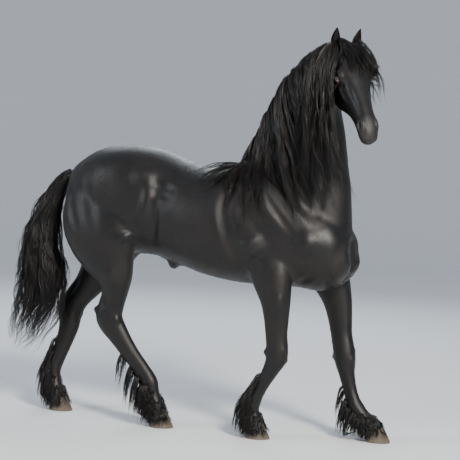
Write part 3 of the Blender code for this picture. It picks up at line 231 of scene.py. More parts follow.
# Strokes of the head, on both sides: path (along, up, out), reach, height.
HEAD_STROKES = (
    (((0.14, -0.14, 0.08), (0.20, -0.17, 0.08)), 0.090, 0.013),
    (((0.235, -0.075, 0.085), (0.30, -0.078, 0.072), (0.355, -0.078, 0.060)), 0.020, 0.008),
    (((0.180, -0.020, 0.085), (0.210, -0.008, 0.088), (0.250, -0.016, 0.082)), 0.026, 0.010),
    (((0.150, -0.008, 0.075),), 0.028, -0.010),
    (((0.275, -0.035, 0.075),), 0.030, -0.006),
    (((0.10, -0.235, 0.04), (0.25, -0.245, 0.045), (0.37, -0.185, 0.035)), 0.024, 0.006),
    (((0.14, -0.26, 0.0), (0.40, -0.17, 0.0)), 0.030, -0.014),
    (((0.30, -0.008, 0.048), (0.46, -0.014, 0.040)), 0.020, -0.004),
    (((0.005, -0.045, 0.060),), 0.040, 0.012),
    (((0.050, -0.100, 0.080), (0.090, -0.180, 0.080)), 0.035, -0.010),
    (((0.515, -0.018, 0.045), (0.555, -0.016, 0.042), (0.580, -0.040, 0.046)), 0.020, 0.009),
    (((0.520, -0.048, 0.058), (0.560, -0.062, 0.052)), 0.020, 0.007),
    (((0.60, -0.066, 0.030), (0.622, -0.070, 0.0)), 0.030, 0.006),
    (((0.580, -0.122, 0.030), (0.600, -0.118, 0.0)), 0.024, 0.007),
    (((0.560, -0.138, 0.0),), 0.034, 0.010),
)
# The fine ones, cut into the finest part of the mesh: nostril pockets and the line of the mouth.
HEAD_CUTS = (
    (((0.530, -0.030, 0.056), (0.552, -0.034, 0.054), (0.566, -0.048, 0.052)), 0.0125, -0.016),
    (
        (
            (0.510, -0.100, 0.052), (0.55, -0.104, 0.050), (0.59, -0.100, 0.044), (0.62, -0.092, 0.026),
            (0.634, -0.088, 0),
        ),
        0.0075, -0.007,
    ),
)
# Half length and half height of the opening between the lids, and how far the lids stand off.
EYE_OPENING = (0.0195, 0.0125)
LID = 0.0032

# Ear: length, half width, depth of the cup, thickness of the rim.
EAR = (0.124, 0.029, 0.025, 0.0055)
EAR_BASE = (0.008, -0.038, 0.056)
# Its sections: share of the length, width, depth, half angle of the wall, hollow.
EAR_ROWS = (
    (-0.20, 0.70, 0.80, 170, 0.25),
    (0.00, 0.80, 0.95, 165, 0.30),
    (0.15, 0.92, 1.02, 150, 0.70),
    (0.35, 1.00, 1.00, 125, 0.90),
    (0.55, 0.90, 0.85, 108, 0.90),
    (0.75, 0.64, 0.62, 98, 0.90),
    (0.90, 0.34, 0.36, 92, 0.85),
    (1.00, 0.08, 0.10, 90, 0.50),
)

# The crest from withers to poll, where the mane is rooted.
CREST = (
    (0.06, 0.0, 1.64), (0.12, -0.010, 1.80), (0.22, -0.040, 1.98), (0.34, -0.085, 2.11), (0.46, -0.130, 2.19),
    (0.58, -0.165, 2.24), (0.63, -0.185, 2.26),
)
# Length of the mane's locks along the crest.
MANE_LENGTHS = ((0.0, 0.46), (0.15, 0.62), (0.35, 0.80), (0.6, 0.90), (0.8, 0.86), (1.0, 0.66))
# How far forward the falling locks drift, along the crest.
MANE_DRIFT = ((0.0, -0.30), (0.12, 0.0), (0.30, 0.35), (0.55, 0.45), (0.75, 0.16), (0.88, 0.0), (1.0, -0.08))
# The lowest that a guide lock may hang.
FLOOR_CLEAR = 0.006
# The tail with its hair, as sections like a limb's.
TAIL = (
    ((-1.080, 0.000, 1.450), 0.045, 0.050),
    ((-1.150, -0.002, 1.400), 0.062, 0.062),
    ((-1.200, -0.006, 1.320), 0.074, 0.076),
    ((-1.238, -0.012, 1.220), 0.088, 0.088),
    ((-1.266, -0.020, 1.100), 0.112, 0.096),
    ((-1.270, -0.030, 0.980), 0.145, 0.098),
    ((-1.248, -0.038, 0.850), 0.180, 0.098),
    ((-1.252, -0.044, 0.720), 0.185, 0.095),
    ((-1.285, -0.046, 0.590), 0.172, 0.088),
    ((-1.340, -0.046, 0.470), 0.140, 0.072),
    ((-1.400, -0.044, 0.355), 0.085, 0.042),
)
# Hooves, with the middle of each sole.
HOOF_LENGTH, HOOF_WIDTH, HOOF_HEIGHT = 0.148, 0.136, 0.082
# The hoof's size at shares of its height, and its growth rings: how much they stand out, and their pace.
HOOF_TAPER = ((0.0, 0.975), (0.03, 1.0), (0.5, 0.905), (1.0, 0.815))
GROWTH_RINGS = (0.006, 34)
# The coronet's plane slopes back to the heels.
CORONET_NORMAL = Vector((-0.34, 0, 0.94))
HOOVES = {
    "fore_right": (0.245, -0.155),
    "fore_left": (0.868, 0.154),
    "hind_right": (-0.368, -0.136),
    "hind_left": (-1.142, 0.079),
}
LEGS = {"fore_right": FORE_RIGHT, "fore_left": FORE_LEFT, "hind_right": HIND_RIGHT, "hind_left": HIND_LEFT}

# The middle of the eyeball on the head (along, up, out), and its radius.
EYE_PLACE = (0.222, -0.044, 0.0885)
EYE_RADIUS = 0.0215
# What counts as the head: from a little behind the poll, above this height and ahead of this place.
HEAD_START, HEAD_LOWEST, HEAD_HINDMOST = -0.02, 1.60, 0.55
# How far the eye faces out to the side, along the face and up, and the cosine and sine of its tilt.
EYE_FACING = (0.94, 0.28, 0.18)
EYE_TILT = (0.97, 0.24)

# The cornea's reach and height, the iris's reach and the level pupil's half length and half height, where
# all but the cornea's height in metres are shares of the eyeball's radius.
CORNEA, IRIS, PUPIL = (0.62, 0.0016), 0.60, (0.34, 0.17)

# Sides of each loft's sections, and rings put between two named sections.
RING_SIDES = 56
RINGS_BETWEEN = 4

# Finer strokes than the solids have: veins of the face, and folds over and under the eyes.
FINE_STROKES = (
    (
        ((0.262, -0.072, 0.082), (0.300, -0.060, 0.072), (0.350, -0.062, 0.062), (0.405, -0.050, 0.056)),
        0.0075, 0.0022,
    ),
    (((0.300, -0.060, 0.072), (0.345, -0.090, 0.058), (0.400, -0.100, 0.052)), 0.0070, 0.0018),
    (((0.196, -0.018, 0.086), (0.214, -0.008, 0.090), (0.236, -0.012, 0.088)), 0.0050, -0.0018),
    (((0.190, -0.010, 0.084), (0.214, 0.001, 0.086), (0.240, -0.004, 0.084)), 0.0060, 0.0016),
    (((0.200, -0.072, 0.088), (0.222, -0.076, 0.088), (0.244, -0.070, 0.085)), 0.0055, -0.0016),
)
# Triangles of the skin, and how far it lies inside the solids.
SKIN_FACES = 190000
COAT_DEPTH = 0.0022
# How thick the dock is inside the tail's hair, as a share of the tail, and how many rings of it there are.
DOCK_SHARE, DOCK_RINGS = 0.55, 18
# Long hair: how many guide locks, and for each lock the strands, the rings of a strand, the lock's half
# width and half depth, the size of its waves and how much of its width it keeps at the tip.
MANE_GUIDES, FORELOCK_GUIDES, TAIL_GUIDES = 112, 44, 84
MANE_LOCK = {"count": 43, "rings": 17, "spread": (0.030, 0.010), "wave": 0.013, "gather": 0.62}
FORELOCK_LOCK = {"count": 38, "rings": 12, "spread": (0.018, 0.010), "wave": 0.011}
TAIL_LOCK = {"count": 47, "rings": 17, "spread": (0.042, 0.020), "wave": 0.020, "gather": 0.7}
FEATHER_LOCK = {"count": 22, "rings": 9, "spread": (0.022, 0.009), "wave": 0.005, "gather": 0.9, "short": 0.6}
# Waves in a metre of each, and the width of a strand.
MANE_WAVES, FORELOCK_WAVES, TAIL_WAVES, FEATHER_WAVES = 4.5, 6, 4.2, 6
MANE_STRAND, FORELOCK_STRAND, TAIL_STRAND, FEATHER_STRAND = 0.0042, 0.0026, 0.0043, 0.0033
# How far a lock's sub-locks and its single strands spread, how fast and wide single strands swing, and
# how far the waves lift off, as shares of the sideways ones.
LOCK_SPREAD, OWN_SPREAD = 0.75, 0.42
OWN_PACE, OWN_SWING, LIFT = 1.7, 0.18, 0.6
# The share of a strand that may lie under the skin, and how near the skin the rest is kept off it.
ROOT_SHARE, NEAR_SKIN = 0.09, 0.12
# The part of a turn between two locks of the tail, which spreads them evenly.
GOLDEN_PART = 0.382
# Rows of feather: sections above the coronet, locks, length, half the arc in degrees from the back,
# and how far they stand off at the end.
FEATHERS = (
    (0.30, 15, 0.085, 172, 0.012), (0.9, 15, 0.11, 168, 0.020), (1.5, 14, 0.15, 150, 0.034),
    (2.1, 13, 0.19, 125, 0.044), (2.8, 11, 0.22, 100, 0.044), (3.5, 9, 0.24, 75, 0.034),
    (4.2, 7, 0.24, 52, 0.024), (5.0, 4, 0.20, 34, 0.014),
)
# Short tufts of the coat: how many, their width, their lengths on the head, the legs and elsewhere, and
# the height under which the coat lies straight down.
TUFTS, TUFT_WIDTH, TUFT_LENGTHS = 7000, 0.0022, (0.009, 0.014, 0.017)
LEG_TOP = 0.90
# The lowest that a strand may hang, and the size of its patch on the map that colours are laid on.
STRAND_CLEAR = 0.003
PATCH = 0.003
# The floor's flat reach, the curve it rises in, and the height of the backdrop's rim.
SWEEP = (16.0, 14.0, 26.0)
SWEEP_SIDES = 96
# The floor's colour, and the sky's colour and strength.
FLOOR_COLOUR = (0.72, 0.73, 0.74, 1)
WORLD_COLOUR, WORLD_STRENGTH = (0.80, 0.88, 1.0, 1), 0.72
# Lights: name, place, aim, size, power, colour.
LIGHTS = (
    ("key", (6.5, -7.0, 6.5), (0.2, 0, 1.2), 2.2, 1900, (1.0, 0.95, 0.88)),
    ("fill", (-7.0, -6.0, 4.5), (0, 0, 1.1), 3.0, 320, (0.90, 0.95, 1.0)),
    ("rim", (-3.0, 7.5, 6.0), (0, 0, 1.3), 5.0, 300, (0.90, 0.95, 1.0)),
)
# The camera: its turn from straight at his right side and its roll in degrees, its dip in radians.
CAMERA_TURN, CAMERA_DIP, CAMERA_ROLL = 22, 0.041153, 2.6
CAMERA_LENS = 133.04
CAMERA_PLACE = (3.6717, -9.1940, 1.5800)


def smooth_rows(rows, between):
    """Rows of numbers with Catmull-Rom rows put between them."""
    rows = np.array(rows, float)
    padded = np.vstack([2 * rows[0] - rows[1], rows, 2 * rows[-1] - rows[-2]])
    made = []
    for i in range(1, len(padded) - 2):
        a, b, c, d = padded[i - 1 : i + 3]
        for step in range(between):
            t = step / between
            square, cube = 2 * a - 5 * b + 4 * c - d, 3 * b - a - 3 * c + d
            made.append(0.5 * (2 * b + (c - a) * t + square * t**2 + cube * t**3))
    made.append(rows[-1])
    return np.array(made)


def section(centre, side, up, half_width, above, below, power, sides=RING_SIDES):
    """One closed ring of points, a rounded oval that may reach further up than down."""
    ring = []
    for i in range(sides):
        turn = 2 * math.pi * i / sides
        c, s = math.cos(turn), math.sin(turn)
        across = half_width * math.copysign(abs(c) ** (2 / power), c)
        height = (above if s > 0 else below) * math.copysign(abs(s) ** (2 / power), s)
        ring.append(Vector(centre) + side * across + up * height)
    return ring


def loft(rings):
    """A closed mesh through rings of equally many points."""
    mesh = bmesh.new()
    loops = [[mesh.verts.new(point) for point in ring] for ring in rings]
    for first, second in zip(loops, loops[1:]):
        for i in range(len(first)):
            j = (i + 1) % len(first)
            mesh.faces.new((first[i], first[j], second[j], second[i]))
    mesh.faces.new(reversed(loops[0]))
    mesh.faces.new(loops[-1])
    bmesh.ops.recalc_face_normals(mesh, faces=mesh.faces)
    return mesh


def torso_rings():
    side, up = Vector((0, 1, 0)), Vector((0, 0, 1))
    rows = smooth_rows(TORSO, RINGS_BETWEEN)
    return [
        section((x, 0, mid), side, up, half, top - mid, mid - low, TORSO_POWER)
        for x, top, low, half, mid in rows
    ]


def limb_frames(sections):
    """Centre, side axis, forward axis, half depth and half width of each ring along a limb."""
    rows = smooth_rows([(*centre, depth, width) for centre, depth, width in sections], RINGS_BETWEEN)
    centres = [Vector(row[:3]) for row in rows]
    frames = []
    for i, row in enumerate(rows):
        along = (centres[min(i + 1, len(rows) - 1)] - centres[max(i - 1, 0)]).normalized()
        side = Vector((0, 1, 0))
        side = (side - along * side.dot(along)).normalized()
        forward = side.cross(along)
        forward = forward if forward.x > 0 else -forward
        frames.append((centres[i], side, forward, row[3], row[4]))
    return frames


def limb_rings(sections, power=LIMB_POWER):
    frames = limb_frames(sections)
    return [section(c, side, ahead, wide, deep, deep, power) for c, side, ahead, deep, wide in frames]


def head_axes():
    """Unit vectors along the face, up out of the forehead, and out to the left."""
    facing = Vector((math.sin(HEAD_TURN), -math.cos(HEAD_TURN), 0))
    down = Vector((0, 0, -1))
    along = facing * math.sin(HEAD_DROOP) + down * math.cos(HEAD_DROOP)
    brow = facing * math.cos(HEAD_DROOP) - down * math.sin(HEAD_DROOP)
    left = Vector((math.cos(HEAD_TURN), math.sin(HEAD_TURN), 0))
    tilt = Matrix.Rotation(HEAD_TILT, 3, brow)
    return tilt @ along, brow, tilt @ left


def head_point(along, up, out):
    axis, brow, left = head_axes()
    return POLL + axis * along + brow * up + left * out


def head_places(points):
    """How far each point lies along the face, up out of the forehead, and out to the left."""
    return ((points - np.array(POLL)) @ np.array(head_axes()).T).T


def eye_point(side):
    return head_point(EYE_PLACE[0], EYE_PLACE[1], side * EYE_PLACE[2])


def eye_axes(side):
    """Unit vectors out of the eye, along its opening and up across it."""
    axis, brow, left = head_axes()
    sideways, forward, upwards = EYE_FACING
    out = (left * side * sideways + axis * forward + brow * upwards).normalized()
    long = (axis - out * axis.dot(out)).normalized()
    high = long.cross(out) * side
    high = high if high.dot(brow) > 0 else -high
    c, s = EYE_TILT
    return out, long * c - high * s, high * c + long * s


def head_rings():
    axis, brow, left = head_axes()
    rows = smooth_rows(HEAD, RINGS_BETWEEN)
    return [
        section(POLL + axis * at + brow * wide, left, brow, half, top - wide, wide - low, 2.25)
        for at, top, low, half, wide in rows
    ]


def joined(meshes):
    """One bmesh holding all of these, which are freed."""
    whole = bmesh.new()
    for mesh in meshes:
        data = bpy.data.meshes.new("joined")
        mesh.to_mesh(data)
        mesh.free()
        whole.from_mesh(data)
        bpy.data.meshes.remove(data)
    return whole


def points_of(data):
    points = np.empty(len(data.vertices) * 3)
    data.vertices.foreach_get("co", points)
    return points.reshape(-1, 3)


def normals_of(data):
    normals = np.empty(len(data.vertices) * 3)
    data.vertex_normals.foreach_get("vector", normals)
    return normals.reshape(-1, 3)


def set_points(data, points):
    data.vertices.foreach_set("co", points.ravel())
    data.update()


def apply_modifiers(thing):
    graph = bpy.context.evaluated_depsgraph_get()
    data = bpy.data.meshes.new_from_object(thing.evaluated_get(graph))
    thing.modifiers.clear()
    old, thing.data = thing.data, data
    bpy.data.meshes.remove(old)


def remeshed(thing, voxel):
    modifier = thing.modifiers.new("Remesh", "REMESH")
    modifier.mode = "VOXEL"
    modifier.voxel_size = voxel
    apply_modifiers(thing)


def neighbour_pairs(data):
    edges = np.empty(len(data.edges) * 2, int)
    data.edges.foreach_get("vertices", edges)
    return edges.reshape(-1, 2).T


def neighbour_middle(points, pairs):
    """The middle of each point's neighbours."""
    a, b = pairs
    count = np.bincount(a, minlength=len(points)) + np.bincount(b, minlength=len(points))
    middle = np.empty_like(points)
    for k in range(3):
        middle[:, k] = np.bincount(a, points[b, k], len(points)) + np.bincount(b, points[a, k], len(points))
    return middle / count[:, None]


def smoothed(thing, turns, weights=None):
    """Evens out the surface without shrinking it."""
    points, pairs = points_of(thing.data), neighbour_pairs(thing.data)
    for _ in range(turns):
        for factor in SMOOTHING:
            move = (neighbour_middle(points, pairs) - points) * factor
            points += move if weights is None else move * weights[:, None]
    set_points(thing.data, points)


def filleted(thing, turns):
    """Fills the creases where lofts meet: only points that sink below their neighbours move."""
    pairs = neighbour_pairs(thing.data)
    for _ in range(turns):
        points, normals = points_of(thing.data), normals_of(thing.data)
        for _ in range(4):
            move = neighbour_middle(points, pairs) - points
            sunk = (move * normals).sum(1)
            points += move * np.clip(sunk * FILL_RATE, 0, 1)[:, None] * FILL_STEP
        set_points(thing.data, points)


def path_distance(points, path):
    """Distance of each point from a broken line, and the share of the line that lies before it."""
    best, place = np.full(len(points), 1e9), np.full(len(points), 0.5)
    if len(path) == 1:
        return np.linalg.norm(points - path[0], axis=1), place
    for i, (start, end) in enumerate(zip(path, path[1:])):
        run = end - start
        share = np.clip(((points - start) @ run) / (run @ run), 0, 1)
        away = np.linalg.norm(points - start - share[:, None] * run, axis=1)
        closer = away < best
        best[closer], place[closer] = away[closer], (i + share[closer]) / (len(path) - 1)
    return best, place


def stroke(points, normals, path, reach, height):
    """Moves the points near a path along their normals, less towards its ends."""
    path = np.array(path, float)
    if len(path) > 2:
        path = smooth_rows(path, 4)
    low, high = path.min(0) - reach, path.max(0) + reach
    near = np.flatnonzero(((points > low) & (points < high)).all(1))
    if len(near) == 0:
        return
    away, place = path_distance(points[near], path)
    weight = np.clip(1 - (away / reach) ** 2, 0, 1) ** 2
    weight *= np.clip(0.3 + 2.4 * np.minimum(place, 1 - place), 0, 1)
    points[near] += normals[near] * (height * weight)[:, None]


def on_skin(points, path):
    """The path with each of its points put at the nearest point of the skin."""
    return [points[np.argmin(((points - spot) ** 2).sum(1))] for spot in np.array(path, float)]


def limb_point(frames, along, ahead, outwards, side):
    centre, across, forward, depth, width = frames[min(int(round(along * RINGS_BETWEEN)), len(frames) - 1)]
    return centre + forward * ahead * depth + across * outwards * side * width


def sculpt_body(data):
    points, normals = points_of(data), normals_of(data)
    for path, reach, height in TRUNK_STROKES:
        for side in (1, -1):
            placed = on_skin(points, [(x, y * side, z) for x, y, z in path])
            stroke(points, normals, placed, reach, height / (2 if path[0][1] == 0 else 1))
    for name, sections in LEGS.items():
        frames, side = limb_frames(sections), 1 if "left" in name else -1
        for path, reach, height in HIND_STROKES if "hind" in name else FORE_STROKES:
            placed = on_skin(points, [limb_point(frames, *spot, side) for spot in path])
            stroke(points, normals, placed, reach, height)
    set_points(data, points)


def sculpt_head(data, strokes):
    points, normals = points_of(data), normals_of(data)
    for path, reach, height in strokes:
        for side in (1, -1):
            placed = on_skin(points, [head_point(along, up, side * out) for along, up, out in path])
            stroke(points, normals, placed, reach, height / (2 if path[-1][2] == 0 == path[0][2] else 1))
    set_points(data, points)


def set_eyelids(data):
    """Lays the lids over each eyeball and opens an almond between them."""
    points = points_of(data)
    half_long, half_high = EYE_OPENING
    for side in (1, -1):
        eye = np.array(eye_point(side))
        out, long, high = eye_axes(side)
        from_eye = points - eye
        span = np.linalg.norm(from_eye, axis=1)
        near = (span < EYE_RADIUS * 2) & (from_eye @ np.array(out) > 0)
        spot = from_eye[near]
        u, v, reach = spot @ np.array(long), spot @ np.array(high), span[near]
        almond = (u / half_long) ** 2 + (np.abs(v) / (half_high * (1 - 0.25 * (v < 0)))) ** 1.7
        outside = np.clip((almond - 0.92) / 0.35, 0, 1)
        fade = np.clip((EYE_RADIUS * 1.9 - reach) / (EYE_RADIUS * 0.7), 0, 1)
        crease = np.exp(-(((almond - 2.6) / 0.5) ** 2)) * 0.0025
        lid = EYE_RADIUS + LID * (1 + 0.5 * np.exp(-(((almond - 1.35) / 0.3) ** 2))) - crease
        shell = np.where(almond < 2.2, lid, np.maximum(reach, lid))
        wanted = outside * shell + (1 - outside) * (EYE_RADIUS - 0.005)
        wanted = fade * wanted + (1 - fade) * reach
        points[near] = eye + spot * (wanted / reach)[:, None]
    set_points(data, points)


def refined(thing, test):
    """Halves the edges in the part of a mesh that a test on its points picks out."""
    mesh = bmesh.new()
    mesh.from_mesh(thing.data)
    picked = test(points_of(thing.data))
    edges = [edge for edge in mesh.edges if picked[edge.verts[0].index] and picked[edge.verts[1].index]]
    bmesh.ops.subdivide_edges(mesh, edges=edges, cuts=1, use_grid_fill=True)
    bmesh.ops.triangulate(mesh, faces=[face for face in mesh.faces if len(face.verts) > 4])
    mesh.to_mesh(thing.data)
    mesh.free()


def near_head(points):
    axis = np.array(head_axes()[0])
    ahead = (points - np.array(POLL)) @ axis > HEAD_START
    return ahead & (points[:, 2] > HEAD_LOWEST) & (points[:, 0] > HEAD_HINDMOST)


def near_details(points):
    """The surroundings of the eyes, and the muzzle."""
    along, up, out = head_places(points)
    eye = (np.abs(along - EYE_PLACE[0]) < 0.045) & (np.abs(up - EYE_PLACE[1]) < 0.04) & (np.abs(out) > 0.05)
    return (eye | (along > 0.49)) & near_head(points)


def united(thing, other):
    """Joins another closed mesh to this one, and removes it."""
    modifier = thing.modifiers.new("Unite", "BOOLEAN")
    modifier.operation, modifier.solver, modifier.object = "UNION", "MANIFOLD", other
    apply_modifiers(thing)
    bpy.data.objects.remove(other)


def hoof_outline(turn, length, width):
    """A point of the sole's outline: round at the toe, drawn in and flatter at the heels."""
    c, s = math.cos(turn), math.sin(turn)
    ahead = length * (0.5 if c > 0 else 0.46) * math.copysign(abs(c) ** (1 if c > 0 else 0.8), c)
    return ahead, width / 2 * s * (1 - 0.12 * max(0, -c))


def body_tree(things):
    """One search tree over the faces of several pieces."""
    points, polygons = [], []
    for thing in things:
        first = len(points)
        points += [vert.co.copy() for vert in thing.data.vertices]
        polygons += [[first + i for i in face.vertices] for face in thing.data.polygons]
    return BVHTree.FromPolygons(points, polygons)


def crest_root(share):
    """A point on the crest, from withers to poll."""
    rows = smooth_rows(CREST, 8)
    return Vector(rows[min(int(share * (len(rows) - 1)), len(rows) - 1)])


def tail_point(frames, place, turn, share):
    centre, side, ahead, depth, width = frames[min(max(int(round(place)), 0), len(frames) - 1)]
    out = ahead * (math.cos(turn) * depth) + side * (math.sin(turn) * width)
    return centre + out * share, out.normalized()


def group_object(name, mesh):
    """A named object from a bmesh, which is freed."""
    data = bpy.data.meshes.new(name)
    mesh.to_mesh(data)
    mesh.free()
    made = bpy.data.objects.new(name, data)
    bpy.context.scene.collection.objects.link(made)
    return made


def ear_mesh(side):
    """A cupped ear: C-shaped sections that open to the front, from the wide base to the tip."""
    length, half_width, depth, rim = EAR
    left = head_axes()[2]
    facing = Vector((math.sin(HEAD_TURN), -math.cos(HEAD_TURN), 0))
    out = left * side
    up = (Vector((0, 0, 1)) * 0.97 + out * 0.15 + left * 0.10 + facing * 0.16).normalized()
    ahead = facing * 0.86 + out * 0.50
    ahead = (ahead - up * ahead.dot(up)).normalized()
    across = up.cross(ahead)
    base = head_point(EAR_BASE[0], EAR_BASE[1], side * EAR_BASE[2])
    sides, rings = 22, []
    for height, wide, deep, open_angle, hollow in smooth_rows(EAR_ROWS, 4):
        centre = base + up * (length * height) - out * (0.010 * height**2) + ahead * (0.012 * height)
        ring = []
        for scale, turns in ((1.0, range(sides)), (hollow, reversed(range(sides)))):
            for i in turns:
                angle = math.radians(open_angle) * (2 * i / (sides - 1) - 1)
                point = across * (math.sin(angle) * wide * half_width)
                point -= ahead * (math.cos(angle) * deep * depth)
                if scale != 1.0:
                    keep = 1 - rim * 0.7 / half_width / max(wide, 0.2)
                    point = point * max(0.25, min(scale, keep))
                ring.append(centre + point)
        rings.append(ring)
    return loft(rings)


def near_fine(points):
    """The eyes and the nostrils."""
    along, up, out = head_places(points)
    eye = (np.abs(along - EYE_PLACE[0]) < 0.034) & (np.abs(up - EYE_PLACE[1]) < 0.030) & (np.abs(out) > 0.05)
    return (eye | ((along > 0.505) & (along < 0.60) & (up > -0.075))) & near_head(points)


def skin_object():
    """The whole skin as one closed surface, a coat's depth inside the solids."""
    shells = [loft(torso_rings()), loft(limb_rings(NECK, NECK_POWER)), loft(head_rings())]
    shells += [loft(limb_rings(leg)) for leg in LEGS.values()]
    rings = []
    for centre, side, ahead, depth, width in limb_frames(TAIL)[:DOCK_RINGS]:
        deep, wide = depth * DOCK_SHARE, width * DOCK_SHARE
        rings.append(section(centre, side, ahead, wide, deep, deep, DOCK_POWER))
    shells.append(loft(rings))
    skin = group_object("skin", joined(shells))
    remeshed(skin, VOXEL)
    smoothed(skin, 4)
    filleted(skin, FILLET_TURNS)
    smoothed(skin, 6)
    sculpt_body(skin.data)
    smoothed(skin, 14, np.clip(1.2 - near_head(points_of(skin.data)) * 2.0, 0, 1))
    refined(skin, near_head)
    sculpt_head(skin.data, HEAD_STROKES)
    refined(skin, near_details)
    smoothed(skin, 2)
    refined(skin, near_fine)
    sculpt_head(skin.data, HEAD_CUTS)
    sculpt_head(skin.data, FINE_STROKES)
    set_eyelids(skin.data)
    for side in (1, -1):
        united(skin, group_object("ear", ear_mesh(side)))
    points = points_of(skin.data)
    weights = np.zeros(len(points))
    for side in (1, -1):
        base = np.array(head_point(EAR_BASE[0] - 0.008, EAR_BASE[1] + 0.012, side * EAR_BASE[2]))
        weights += np.clip(1.6 - np.linalg.norm(points - base, axis=1) / 0.030, 0, 1)
    smoothed(skin, 12, np.clip(weights, 0, 1))
    points, normals = points_of(skin.data), normals_of(skin.data)
    deep = np.where(near_head(points), 0.35, 1.0)
    set_points(skin.data, points - normals * (COAT_DEPTH * deep)[:, None])
    fewer = skin.modifiers.new("Fewer", "DECIMATE")
    fewer.ratio = SKIN_FACES / sum(len(face.vertices) - 2 for face in skin.data.polygons)
    apply_modifiers(skin)
    return skin


# Hair.


def resampled(path, count):
    """The path as this many points at even distances."""
    path = smooth_rows(np.array(path, float), 6)
    runs = np.concatenate(([0], np.cumsum(np.linalg.norm(np.diff(path, axis=0), axis=1))))
    at = np.linspace(0, runs[-1], count)
    return np.stack([np.interp(at, runs, path[:, k]) for k in range(3)], 1)


def unit(rows):
    return rows / np.maximum(np.linalg.norm(rows, axis=-1, keepdims=True), 1e-9)


def tress(path, faces, count, rings, spread, draw, wave=0.010, waves=3.0, short=0.72, gather=0.55, locks=5):
    """Strands that follow a path as a few sub-locks, waving together and gathering towards the tips.

    spread is the tress's half width across and half depth along its faces."""
    line = resampled(path, rings)
    face = unit(resampled(faces, rings))
    along = unit(np.gradient(line, axis=0))
    across = unit(np.cross(along, face))
    face = np.cross(across, along)
    ends = draw.uniform(short, 1.0, count)
    share = np.linspace(0, 1, rings)[None, :] * ends[:, None]
    at = share * (rings - 1)
    low = np.clip(at.astype(int), 0, rings - 2)
    part = (at - low)[..., None]
    rows = (line, across, face)
    centre, sideways, outwards = (row[low] * (1 - part) + row[low + 1] * part for row in rows)
    lock = draw.integers(0, locks, count)
    turn, reach = draw.uniform(0, 6.28, locks), np.sqrt(draw.uniform(0.05, 1, locks))
    phase, pace = draw.uniform(0, 6.28, locks), draw.uniform(0.8, 1.2, locks)
    own_turn, own = draw.uniform(0, 6.28, count), np.sqrt(draw.uniform(0, 1, count))
    own_phase = draw.uniform(0, 6.28, count)
    fall = 1 - (1 - gather) * share
    loose = np.sqrt(share)
    swing = np.sin(phase[lock][:, None] + 6.28 * waves * pace[lock][:, None] * share) * loose * wave
    swing += np.sin(own_phase[:, None] + 6.28 * waves * OWN_PACE * share) * loose * wave * OWN_SWING
    lift = np.cos(phase[lock][:, None] * 1.3 + 6.28 * waves * pace[lock][:, None] * share)
    lift = lift * loose * wave * LIFT
    wide, deep = spread
    inner = OWN_SPREAD * (1 - 0.5 * share)
    a = (np.cos(turn) * reach)[lock][:, None] * fall * LOCK_SPREAD + (np.cos(own_turn) * own)[:, None] * inner
    b = (np.sin(turn) * reach)[lock][:, None] * fall * LOCK_SPREAD + (np.sin(own_turn) * own)[:, None] * inner
    lines = centre + sideways * (a * wide + swing)[..., None] + outwards * (b * deep + lift)[..., None]
    return lines, outwards


def kept_off(lines, tree, clear):
    """Moves strand points that lie under the skin to just above it."""
    flat = lines.reshape(-1, 3)
    share = np.tile(np.linspace(0, 1, lines.shape[1]), len(lines))
    for i in np.flatnonzero(share > ROOT_SHARE):
        spot, face, _, away = tree.find_nearest(Vector(flat[i]))
        if away < NEAR_SKIN and (Vector(flat[i]) - spot).dot(face) < clear:
            flat[i] = spot + face * clear
    return flat.reshape(lines.shape)


